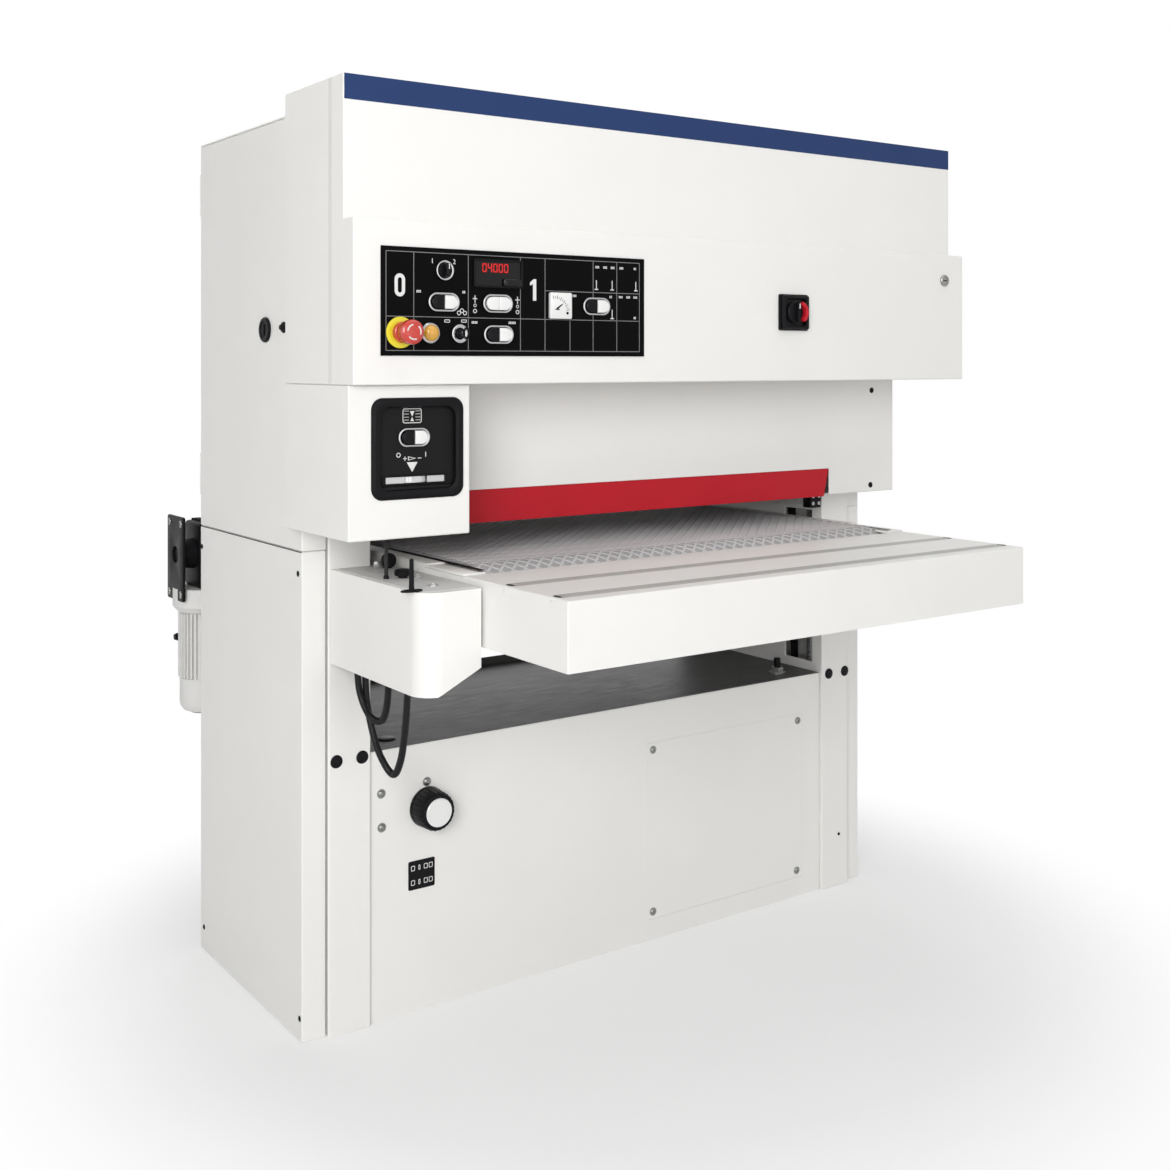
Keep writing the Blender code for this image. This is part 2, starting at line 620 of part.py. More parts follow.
def make_box_controls():
    """The black panel of the thickness box, with its two keys and the setting wheel."""
    face = FRONT - BOX_REACH + PANEL_DEPTH
    wall = 0.004
    panel = shell("thickness_panel", inset(BOX_PANEL_X, GAP), (FRONT - BOX_REACH - 0.001, face + wall),
                  inset(BOX_PANEL_Z, GAP), wall, ("-y",), plastic("thickness_panel_black"))
    x, z = THICKNESS_BUTTON
    pieces = [panel]
    cuts = []
    for label, way, colour in (("down", -1, BLACK), ("up", 1, WHITE)):
        at = x + way * CAP_PITCH / 2
        node = f"thickness_button_{label}"
        pieces.append(make_cap(node, at, z, face, plastic(node + "_colour", colour)))
        cuts.append(cap_hole(node + "_hole", at, z, face))
    wheel_x, wheel_z = WHEEL
    wheel_y = face + WHEEL_R - 0.001
    cuts.append(block("wheel_slot", around(wheel_x, WHEEL_R + 0.012), around(face, 0.020),
                      around(wheel_z, WHEEL_HALF + 0.0015)))
    carve(panel, *cuts)
    foot = BOX_BOTTOM + SHEET + GAP
    below, above = around(wheel_z, WHEEL_HALF)
    wheel = turned("thickness_wheel", [(foot, WHEEL_AXLE_R), (below, WHEEL_AXLE_R), (below, WHEEL_R),
                                       (above, WHEEL_R), (above, WHEEL_AXLE_R), (above + 0.014, WHEEL_AXLE_R)],
                   2, (wheel_x, wheel_y, 0), steel("wheel_steel"))
    pivot(wheel, (wheel_x, wheel_y, wheel_z))
    pieces.append(wheel)
    return pieces


def make_pressure_knob():
    face = FRONT + FRONT_WALL_SETBACK
    knob = turned("pressure_knob", [(face - 0.045, 0.033), (face - 0.042, 0.037), (face - 0.006, 0.039),
                                    (face - GAP, 0.039), (face - GAP, KNOB_STEM_R), (face + 0.020, KNOB_STEM_R)],
                  1, (KNOB_X, 0, KNOB_Z), plastic("knob_black"), sides=24)
    return pivot(knob, (KNOB_X, face, KNOB_Z))


# ---------------------------------------------------------------- sanding head

def make_head_beam():
    beam = block("head_beam", (-ARM_OUT, POST_IN - GAP), around(MIDDLE, BEAM_HALF_DEPTH),
                 (BEAM_BOTTOM, BEAM_TOP), material("beam_grey", GREY, 0.5))
    for name, x in (("left", (-ARM_OUT, -ARM_IN)), ("right", (ARM_IN, ARM_OUT))):
        fuse(beam, block(f"beam_{name}_arm", x, around(MIDDLE, BEAM_HALF_DEPTH - BITE),
                         (CONTACT_Z - CONTACT_SHAFT_R - 0.018, BEAM_BOTTOM + 0.1)))
    cuts = [rod("beam_bearings", 0, -ARM_OUT - CUT, ARM_OUT + 0.02, CONTACT_SHAFT_R + RUNNING,
                (0, MIDDLE, CONTACT_Z))]
    for name, x in (("left", -GUIDE_X), ("right", GUIDE_X)):
        cuts.append(rod(f"guide_{name}_bore", 2, BEAM_TOP - GUIDE_SEAT - CUT, BEAM_TOP + CUT, GUIDE_R + RUNNING,
                        (x, MIDDLE, 0), sides=16))
    return carve(beam, *cuts)


def make_tension_yoke():
    """Carries the upper roller; it slides down on two guide rods to let the abrasive belt off."""
    yoke = block("tension_yoke", (-ARM_OUT, ARM_OUT), around(MIDDLE, YOKE_HALF_DEPTH),
                 (YOKE_BOTTOM, YOKE_BOTTOM + YOKE_HEIGHT), steel("yoke_steel"))
    for name, x in (("left", (-ARM_OUT, -ARM_IN)), ("right", (ARM_IN, ARM_OUT))):
        fuse(yoke, block(f"yoke_{name}_arm", x, around(MIDDLE, YOKE_HALF_DEPTH - BITE),
                         (YOKE_BOTTOM + 0.01, TENSION_Z + TENSION_SHAFT_R + 0.016)))
    for name, x in (("left", -GUIDE_X), ("right", GUIDE_X)):
        fuse(yoke, rod(f"guide_{name}", 2, BEAM_TOP - GUIDE_SEAT, YOKE_BOTTOM + YOKE_HEIGHT / 2, GUIDE_R,
                       (x, MIDDLE, 0), sides=16))
    carve(yoke, rod("yoke_bearings", 0, -ARM_OUT - CUT, ARM_OUT + CUT, TENSION_SHAFT_R + RUNNING,
                    (0, MIDDLE, TENSION_Z), sides=16))
    return pivot(yoke, (0, MIDDLE, YOKE_BOTTOM))


def make_sanding_rollers():
    contact = turned("contact_roller", [(-ARM_OUT - 0.004, CONTACT_SHAFT_R), (-HALF_ROLLER, CONTACT_SHAFT_R),
                                        (-HALF_ROLLER, CONTACT_R - GAP), (HALF_ROLLER, CONTACT_R - GAP),
                                        (HALF_ROLLER, CONTACT_SHAFT_R), (PULLEY_IN, CONTACT_SHAFT_R)]
                     + pulley_profile(HEAD_PULLEY_R),
                     0, (0, MIDDLE, CONTACT_Z), material("contact_rubber", RUBBER, 0.7))
    pivot(contact, (0, MIDDLE, CONTACT_Z))
    tension = turned("tension_roller", [(-ARM_OUT - 0.002, TENSION_SHAFT_R), (-HALF_ROLLER, TENSION_SHAFT_R),
                                        (-HALF_ROLLER, TENSION_R - GAP), (HALF_ROLLER, TENSION_R - GAP),
                                        (HALF_ROLLER, TENSION_SHAFT_R), (ARM_OUT + 0.002, TENSION_SHAFT_R)],
                     0, (0, MIDDLE, TENSION_Z), steel("tension_steel"))
    pivot(tension, (0, MIDDLE, TENSION_Z))
    return [contact, tension]


def loop_outline(lower, lower_r, upper, upper_r, steps=12):
    """Outline of a belt round two rollers, one above the other, as (y, z) points."""
    lean = math.degrees(math.asin((lower_r - upper_r) / (upper[1] - lower[1])))
    below = wrap(lower, lower_r, 180 - lean, 360 + lean, steps)
    above = wrap(upper, upper_r, lean, 180 - lean, steps)
    return below + above


def make_loop(name, x, lower, lower_r, upper, upper_r, thick, surface):
    outer = prism(name, loop_outline(lower, lower_r + thick, upper, upper_r + thick), 0, *x, surface)
    inner = prism(name + "_inside", loop_outline(lower, lower_r, upper, upper_r), 0, x[0] - 0.01, x[1] + 0.01)
    carve(outer, inner)
    outer.data.shade_smooth()
    outer.data.set_sharp_from_angle(angle=math.radians(35))
    return outer


def make_abrasive_belt():
    return make_loop("abrasive_belt", (-HALF_ABRASIVE, HALF_ABRASIVE), (MIDDLE, CONTACT_Z), CONTACT_R,
                     (MIDDLE, TENSION_Z), TENSION_R, ABRASIVE_THICK, material("abrasive_brown", BROWN, 0.9))


def make_pressure_rollers():
    rollers = []
    end = POST_IN - 0.008
    journal = POST_IN + 0.003
    neck_r = PRESSURE_SHAFT_R + 0.003
    for name, way in (("infeed_pressure_roller", -1), ("outfeed_pressure_roller", 1)):
        centre = (0, MIDDLE + way * PRESSURE_SPACING, PRESSURE_Z)
        roller = turned(name, [(-journal, PRESSURE_SHAFT_R), (-end, PRESSURE_SHAFT_R), (-end, neck_r),
                               (-HALF_ABRASIVE, neck_r), (-HALF_ABRASIVE, PRESSURE_R), (HALF_ABRASIVE, PRESSURE_R),
                               (HALF_ABRASIVE, neck_r), (end, neck_r), (end, PRESSURE_SHAFT_R),
                               (journal, PRESSURE_SHAFT_R)],
                        0, centre, material(name + "_rubber", RUBBER, 0.7), sides=16)
        rollers.append(pivot(roller, centre))
    return rollers


def pulley_profile(radius):
    rim = (PULLEY_WIDTH - VBELT_WIDTH) / 2
    floor = radius - VBELT_THICK
    return [(PULLEY_IN, radius), (PULLEY_IN + rim, radius), (PULLEY_IN + rim, floor),
            (PULLEY_OUT - rim, floor), (PULLEY_OUT - rim, radius), (PULLEY_OUT, radius)]


def make_drive():
    end = POST_IN - 0.060
    start = end - MOTOR_LENGTH
    motor = turned("main_motor", [(start, MOTOR_R - 0.02), (start + 0.015, MOTOR_R), (end - 0.02, MOTOR_R),
                                  (end, MOTOR_R - 0.03)], 0, (0, MIDDLE, MOTOR_AXIS_Z),
                   material("motor_grey", GREY, 0.5), sides=24)
    feet = block("motor_feet", inset((start, end), 0.080), around(MIDDLE, MOTOR_FEET_HALF),
                 (MOTOR_SHELF_TOP + GAP, MOTOR_AXIS_Z - 0.04))
    fuse(motor, feet)
    carve(motor, rod("motor_bore", 0, *around(end, CUT), MOTOR_SHAFT_R + RUNNING, (0, MIDDLE, MOTOR_AXIS_Z)))
    shaft = [(end - CUT + BITE, MOTOR_SHAFT_R), (PULLEY_IN, MOTOR_SHAFT_R)]
    pulley = turned("motor_pulley", shaft + pulley_profile(MOTOR_PULLEY_R), 0, (0, MIDDLE, MOTOR_AXIS_Z),
                    steel("motor_pulley_iron"))
    pivot(pulley, (0, MIDDLE, MOTOR_AXIS_Z))
    floor = GAP - VBELT_THICK
    belt = make_loop("drive_belt", inset((PULLEY_IN, PULLEY_OUT), (PULLEY_WIDTH - VBELT_WIDTH) / 2 + GAP),
                     (MIDDLE, MOTOR_AXIS_Z), MOTOR_PULLEY_R + floor, (MIDDLE, CONTACT_Z), HEAD_PULLEY_R + floor,
                     VBELT_THICK, material("vbelt_rubber", BLACK, 0.8))
    return [motor, pulley, belt]


# ---------------------------------------------------------------- table

def make_table_bed():
    inner_top = BELT_TOP - BELT_THICK - GAP
    bed = shell("table_bed", (-HALF_APRON + 0.002, HALF_APRON - 0.002),
                (IDLER_Y + BELT_R + 0.006, DRIVE_Y - BELT_R - 0.006), (FEED_AXIS_Z - 0.020, inner_top),
                BED_PLATE, ("-z",), material("table_grey", GREY, 0.5))
    for name, side in (("left", -1), ("right", 1)):
        x = sorted((side * HALF_APRON, side * (HALF_APRON - CHEEK)))
        fuse(bed, block(f"{name}_cheek", x, (CHEEK_FRONT, TABLE_REAR), (APRON_BOTTOM, APRON_TOP - 0.002)))
        for label, y in SCREW_PLACES.items():
            reach = sorted((side * (HALF_APRON - 0.004), side * (SCREW_X + SCREW_R + 0.014)))
            fuse(bed, block(f"{name}_{label}_arm", reach, around(y, ARM_HALF), ARM_Z))
            carve(bed, rod(f"{name}_{label}_nut", 2, *inset(ARM_Z, -0.020), SCREW_R + RUNNING,
                           (side * SCREW_X, y, 0), sides=16))
    for name, y in (("idler", IDLER_Y), ("drive", DRIVE_Y)):
        carve(bed, rod(f"{name}_bearing", 0, LEFT, RIGHT, FEED_SHAFT_R + RUNNING, (0, y, FEED_AXIS_Z), sides=16))
    return bed


def make_feed_rollers():
    rollers = []
    end = HALF_APRON - 0.004
    for name, y, left_end in (("idler_roller", IDLER_Y, -end), ("drive_roller", DRIVE_Y, GEARBOX_X[0] + 0.010)):
        body = HALF_BELT - 0.003
        roller = turned(name, [(left_end, FEED_SHAFT_R), (-body, FEED_SHAFT_R), (-body, FEED_ROLLER_R - GAP),
                               (body, FEED_ROLLER_R - GAP), (body, FEED_SHAFT_R), (end, FEED_SHAFT_R)],
                        0, (0, y, FEED_AXIS_Z), steel(name + "_steel"))
        rollers.append(pivot(roller, (0, y, FEED_AXIS_Z)))
    return rollers


def feed_outline(radius, steps=12):
    """Side outline of the feed belt as (y, z) points."""
    front = wrap((IDLER_Y, FEED_AXIS_Z), radius, 90, 270, steps)
    rear = wrap((DRIVE_Y, FEED_AXIS_Z), radius, 270, 450, steps)
    return front + rear


def make_feed_belt():
    belt = prism("feed_belt", feed_outline(BELT_R), 0, -HALF_BELT, HALF_BELT, material("belt_grey", RUBBER, 0.8))
    carve(belt, prism("feed_belt_inside", feed_outline(FEED_ROLLER_R), 0, -HALF_BELT - 0.01, HALF_BELT + 0.01))
    belt.data.shade_smooth()
    belt.data.set_sharp_from_angle(angle=math.radians(35))
    return belt


def make_apron():
    apron = shell("infeed_apron", (-HALF_APRON, HALF_APRON), (TABLE_FRONT, CHEEK_FRONT - GAP - 0.002),
                  (APRON_BOTTOM, APRON_TOP), SHEET, ("-z", "+y"), painted("apron_paint"))
    for name, side in (("left", -1), ("right", 1)):
        x = sorted((side * HALF_APRON, side * (HALF_APRON - SHEET)))
        fuse(apron, block(f"apron_{name}_tongue", x, (CHEEK_FRONT - 0.006, CHEEK_FRONT - GAP),
                          (APRON_BOTTOM + 0.01, APRON_TOP - 0.01)))
    pieces = [apron]
    axis_z = APRON_TOP + APRON_ROLLER_PROUD - APRON_ROLLER_R
    for name, back in (("apron_roller_front", APRON_ROLLER_Y[0]), ("apron_roller_rear", APRON_ROLLER_Y[1])):
        y = TABLE_FRONT + back
        half = HALF_APRON - 0.016
        end = HALF_APRON - 0.0005
        slot = block(name + "_slot", inset((-half, half), -0.003), around(y, APRON_ROLLER_R + 0.0015),
                     around(APRON_TOP, 0.020))
        holes = rod(name + "_holes", 0, LEFT, RIGHT, APRON_ROLLER_SHAFT_R + RUNNING, (0, y, axis_z), sides=16)
        carve(apron, slot, holes)
        roller = turned(name, [(-end, APRON_ROLLER_SHAFT_R), (-half, APRON_ROLLER_SHAFT_R), (-half, APRON_ROLLER_R),
                               (half, APRON_ROLLER_R), (half, APRON_ROLLER_SHAFT_R), (end, APRON_ROLLER_SHAFT_R)],
                        0, (0, y, axis_z), material(name + "_white", WHITE, 0.4), sides=24)
        pieces.append(pivot(roller, (0, y, axis_z)))
    return pieces


def make_gearmotor():
    """Worm gearbox on the drive roller's shaft, with its motor hanging below it."""
    y = around(DRIVE_Y, GEARBOX_HALF)
    housing_bottom = FEED_AXIS_Z - GEARBOX_BELOW
    gearmotor = block("gearmotor", GEARBOX_X, y, (housing_bottom, FEED_AXIS_Z + GEARBOX_ABOVE),
                      plastic("gearbox_black"))
    plate = block("gearbox_plate", (LEFT - 0.018, LEFT - 0.012), y, GEARBOX_PLATE_Z)
    neck = block("gearbox_neck", (LEFT - 0.012 - BITE, GEARBOX_X[0] + 0.01), around(DRIVE_Y, 0.030),
                 around(FEED_AXIS_Z, 0.030))
    fuse(gearmotor, plate, neck)
    motor = turned("feed_motor", [(0.484, 0.035), (0.492, 0.050), (0.500, 0.054), (0.560, 0.054), (0.560, 0.058),
                                  (0.706, 0.058), (0.722, 0.070), (housing_bottom + 0.006, 0.070)],
                   2, (FEED_MOTOR_X, DRIVE_Y, 0))
    terminal = block("terminal_box", around(FEED_MOTOR_X, 0.035), (DRIVE_Y + 0.030, DRIVE_Y + 0.075), TERMINAL_Z)
    fuse(gearmotor, motor, terminal)
    bore = rod("gearbox_bore", 0, GEARBOX_X[0] + 0.005, GEARBOX_X[1] + CUT, FEED_SHAFT_R + RUNNING,
               (0, DRIVE_Y, FEED_AXIS_Z), sides=24)
    return carve(gearmotor, bore)


def make_cable_box():
    """Sheet box at the table's left front corner, open below and behind; the conduits end in it."""
    front, back = FRONT - CABLE_BOX_REACH, FRONT - SLIDING

    def outline(wall):
        left, right = inset(CABLE_BOX_X, wall)
        radius = CABLE_BOX_R - wall
        corner = arc((left + radius, front + wall + radius), radius, 180, 270, 6)
        return corner + [(right, front + wall), (right, back + wall), (left, back + wall)]

    box = prism("cable_box", outline(0), 2, *CABLE_BOX_Z, painted("cable_box_paint"))
    hollow = prism("cable_box_hollow", outline(SHEET), 2, CABLE_BOX_Z[0] - 0.01, CABLE_BOX_Z[1] - SHEET)
    side, low = CABLE_BOX_X[1] + 0.01, CABLE_BOX_Z[0] - BITE
    wedge = [(CABLE_BOX_X[1] - CABLE_BOX_CHAMFER[0], low), (side, low), (side, CABLE_BOX_Z[0] + CABLE_BOX_CHAMFER[1])]
    carve(box, hollow, prism("cable_box_chamfer", wedge, 1, front - 0.01, back + 0.01))
    for index, y in enumerate((FRONT - 0.300, FRONT - 0.050)):
        fuse(box, rod(f"cable_box_spacer_{index}", 0, CABLE_BOX_X[1] - SHEET / 3, -HALF_APRON - GAP, 0.008,
                      (0, y, SPACER_Z), sides=12))
    grommet = rod("grommet_hole", 2, *around(CABLE_BOX_Z[1], 0.020), 0.010, PROBE, sides=12)
    return carve(box, grommet)


def make_screws():
    screws = []
    low = SCREW_SHELF_Z + GAP
    flange = low + SCREW_FLANGE
    profile = [(low, SCREW_FLANGE_R), (flange, SCREW_FLANGE_R), (flange, SCREW_R), (SCREW_TOP, SCREW_R)]
    for side, name in ((-1, "left"), (1, "right")):
        for label, y in SCREW_PLACES.items():
            node = f"lift_screw_{name}_{label}"
            screw = turned(node, profile, 2, (side * SCREW_X, y, 0), steel(node + "_steel"), sides=16)
            screws.append(pivot(screw, (side * SCREW_X, y, low)))
    return screws


# ---------------------------------------------------------------- conduits

def smooth_route(route, step):
    """Points at even steps along a Catmull-Rom curve through the route."""
    ends = [2 * route[0] - route[1]] + route + [2 * route[-1] - route[-2]]
    fine = []
    for a, b, c, d in zip(ends, ends[1:], ends[2:], ends[3:]):
        for part in range(20):
            t = part / 20
            fine.append(0.5 * (2 * b + (c - a) * t + (2 * a - 5 * b + 4 * c - d) * t * t
                               + (3 * b - a - 3 * c + d) * t ** 3))
    fine.append(route[-1])
    lengths = [0.0]
    for first, second in zip(fine, fine[1:]):
        lengths.append(lengths[-1] + (second - first).length)
    count = max(2, round(lengths[-1] / step))
    points = []
    index = 0
    for number in range(count + 1):
        target = lengths[-1] * number / count
        while index < len(fine) - 2 and lengths[index + 1] < target:
            index += 1
        share = (target - lengths[index]) / (lengths[index + 1] - lengths[index])
        points.append(fine[index].lerp(fine[index + 1], min(1.0, max(0.0, share))))
    return points


def make_conduit(name, route):
    placed = [Vector((LEFT + x, FRONT + y, z)) for x, y, z in route]
    points = smooth_route(placed, 5 * CONDUIT_R)
    curve = bpy.data.curves.new(name, "CURVE")
    curve.dimensions = "3D"
    curve.bevel_depth = CONDUIT_R
    curve.bevel_resolution = 2
    curve.use_fill_caps = True
    spline = curve.splines.new("POLY")
    spline.points.add(len(points) - 1)
    for spot, point in zip(spline.points, points):
        spot.co = (*point, 1.0)
    curve.materials.append(plastic(name + "_black"))
    made = bpy.data.objects.new(name, curve)
    bpy.context.scene.collection.objects.link(made)
    return made


# ---------------------------------------------------------------- whole machine

def main():
    for old in list(bpy.data.objects):
        bpy.data.objects.remove(old)
    frame = make_base() + [make_column(-1), make_column(1)] + make_covers() + make_hood() + make_front_panel()
    frame += [make_red_guard(), make_pressure_knob(), make_head_beam()] + make_pressure_rollers() + make_drive()
    frame += make_sanding_rollers() + make_box_controls() + make_screws()
    frame += [make_abrasive_belt(), make_tension_yoke()]
    group("cabinet", frame)
    group("left_door_group", make_left_door())
    group("control_group", make_control_door())
    table = [make_table_bed(), make_feed_belt(), make_cable_box()] + make_feed_rollers() + make_apron()
    table.append(make_gearmotor())
    group("table", table)
    group("conduits", [make_conduit("short_conduit", SHORT_ROUTE), make_conduit("long_conduit", LONG_ROUTE)])


main()
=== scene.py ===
"""Looks of the wide-belt sanding machine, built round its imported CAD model."""

import json
import math

import bmesh
import bpy
from mathutils import Matrix, Vector

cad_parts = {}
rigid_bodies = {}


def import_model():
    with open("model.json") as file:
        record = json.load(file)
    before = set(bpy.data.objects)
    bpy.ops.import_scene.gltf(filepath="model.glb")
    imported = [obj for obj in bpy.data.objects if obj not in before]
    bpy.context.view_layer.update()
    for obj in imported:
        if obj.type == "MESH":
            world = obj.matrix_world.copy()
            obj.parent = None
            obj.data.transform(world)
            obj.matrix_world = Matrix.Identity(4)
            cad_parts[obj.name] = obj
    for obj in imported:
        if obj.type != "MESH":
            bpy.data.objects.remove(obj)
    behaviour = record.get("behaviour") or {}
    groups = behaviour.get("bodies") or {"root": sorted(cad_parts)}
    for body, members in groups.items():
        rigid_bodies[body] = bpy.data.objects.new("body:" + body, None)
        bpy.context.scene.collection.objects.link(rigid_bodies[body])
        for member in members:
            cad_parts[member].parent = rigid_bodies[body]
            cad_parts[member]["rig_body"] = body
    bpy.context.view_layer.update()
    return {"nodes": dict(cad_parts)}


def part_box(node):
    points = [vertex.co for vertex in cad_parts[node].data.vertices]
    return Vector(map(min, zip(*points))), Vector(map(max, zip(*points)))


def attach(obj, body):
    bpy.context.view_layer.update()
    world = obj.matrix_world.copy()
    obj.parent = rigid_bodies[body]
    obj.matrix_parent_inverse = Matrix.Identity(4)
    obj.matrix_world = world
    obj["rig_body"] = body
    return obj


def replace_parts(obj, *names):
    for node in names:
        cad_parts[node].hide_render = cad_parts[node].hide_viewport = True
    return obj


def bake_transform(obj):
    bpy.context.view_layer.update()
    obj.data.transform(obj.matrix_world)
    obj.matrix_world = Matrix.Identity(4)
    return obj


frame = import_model()

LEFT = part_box("left_lower_cover")[0].x
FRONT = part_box("left_column")[0].y
WIDTH = -2 * LEFT       # of the cabinet
GAP = 0.0003            # left between pieces that would otherwise touch
PROUD = 0.0002          # how far a printed mark stands off its panel
SIDES = (("left", -1), ("right", 1))    # and the way each faces along x


def at(x, y, z):
    """A point given from the cabinet's left side, its posts' front and the floor."""
    return Vector((LEFT + x, FRONT + y, z))


def add_object(name, data):
    made = bpy.data.objects.new(name, data)
    bpy.context.scene.collection.objects.link(made)
    return made


# ---- camera

LENS = 43.18            # mm, on a sensor 36 mm wide
LENS_SHIFT = -0.1904
CAMERA_PLACE = (-1.071, -2.407, 1.26)
CAMERA_TURN = -35.289   # degrees from looking straight back


def make_camera():
    data = bpy.data.cameras.new("camera")
    data.sensor_width = 36.0
    data.lens = LENS
    data.shift_y = LENS_SHIFT
    camera = add_object("camera", data)
    camera.location = at(*CAMERA_PLACE)
    camera.rotation_euler = (math.radians(90), 0, math.radians(CAMERA_TURN))
    bpy.context.scene.camera = camera


# ---- materials

NOISE_RANGE = (0.3, 0.7)        # the part of a noise's range that is used


class Nodes:
    """A short way to build a material's node tree."""

    def __init__(self, name):
        self.material = bpy.data.materials.new(name)
        self.material.use_nodes = True
        self.tree = self.material.node_tree
        self.shader = self.tree.nodes["Principled BSDF"]
        self.place = self.add("ShaderNodeTexCoord").outputs["Object"]

    def add(self, kind, inputs=None, **settings):
        node = self.tree.nodes.new(kind)
        for key, value in settings.items():
            setattr(node, key, value)
        self.fill(node, inputs or {})
        return node

    def fill(self, node, inputs):
        for name, value in inputs.items():
            node.inputs[name].default_value = value

    def wire(self, source, target):
        self.tree.links.new(source, target)

    def noise(self, scale, detail=3.0, stretch=None):
        node = self.add("ShaderNodeTexNoise", {"Scale": scale, "Detail": detail})
        place = self.place
        if stretch:
            mapping = self.add("ShaderNodeMapping", {"Scale": stretch})
            self.wire(place, mapping.inputs["Vector"])
            place = mapping.outputs["Vector"]
        self.wire(place, node.inputs["Vector"])
        return node.outputs["Fac"]

    def tone(self, value, low, high):
        """Colours the surface from low to high over the middle of a noise's range."""
        node = self.add("ShaderNodeValToRGB")
        for element, position, colour in zip(node.color_ramp.elements, NOISE_RANGE, (low, high)):
            element.position = position
            element.color = (*colour, 1)
        self.wire(value, node.inputs["Fac"])
        self.wire(node.outputs["Color"], self.shader.inputs["Base Color"])

    def roughen(self, value, low, high):
        node = self.add("ShaderNodeMapRange", {"From Min": NOISE_RANGE[0], "From Max": NOISE_RANGE[1],
                                               "To Min": low, "To Max": high})
        self.wire(value, node.inputs["Value"])
        self.wire(node.outputs["Result"], self.shader.inputs["Roughness"])

    def bump(self, height, strength, distance):
        node = self.add("ShaderNodeBump", {"Strength": strength, "Distance": distance})
        self.wire(height, node.inputs["Height"])
        self.wire(node.outputs["Normal"], self.shader.inputs["Normal"])


def shaded(colour, share):
    return tuple(min(1.0, channel * share) for channel in colour)


def finish(name, colour, roughness, metallic=0.0, grain=900.0, relief=0.05, patches=0.03, stretch=None,
           coat=0.0, spread=0.06, gloss=0.5):
    """A finish with faint patches of tone, uneven gloss and a fine relief."""
    nodes = Nodes(name)
    nodes.tone(nodes.noise(5.0, 4.0), shaded(colour, 1 - patches), shaded(colour, 1 + patches))
    nodes.roughen(nodes.noise(22.0, 5.0, stretch), roughness - spread, roughness + spread)
    nodes.bump(nodes.noise(grain, 2.0, stretch), relief, 0.0004)
    nodes.fill(nodes.shader, {"Metallic": metallic, "Specular IOR Level": gloss, "Coat Weight": coat,
                              "Coat Roughness": 0.15})
    return nodes.material


def glowing(name, colour, strength):
    nodes = Nodes(name)
    nodes.tone(nodes.noise(300.0), shaded(colour, 0.9), colour)
    nodes.fill(nodes.shader, {"Emission Color": (*colour, 1), "Emission Strength": strength})
    return nodes.material


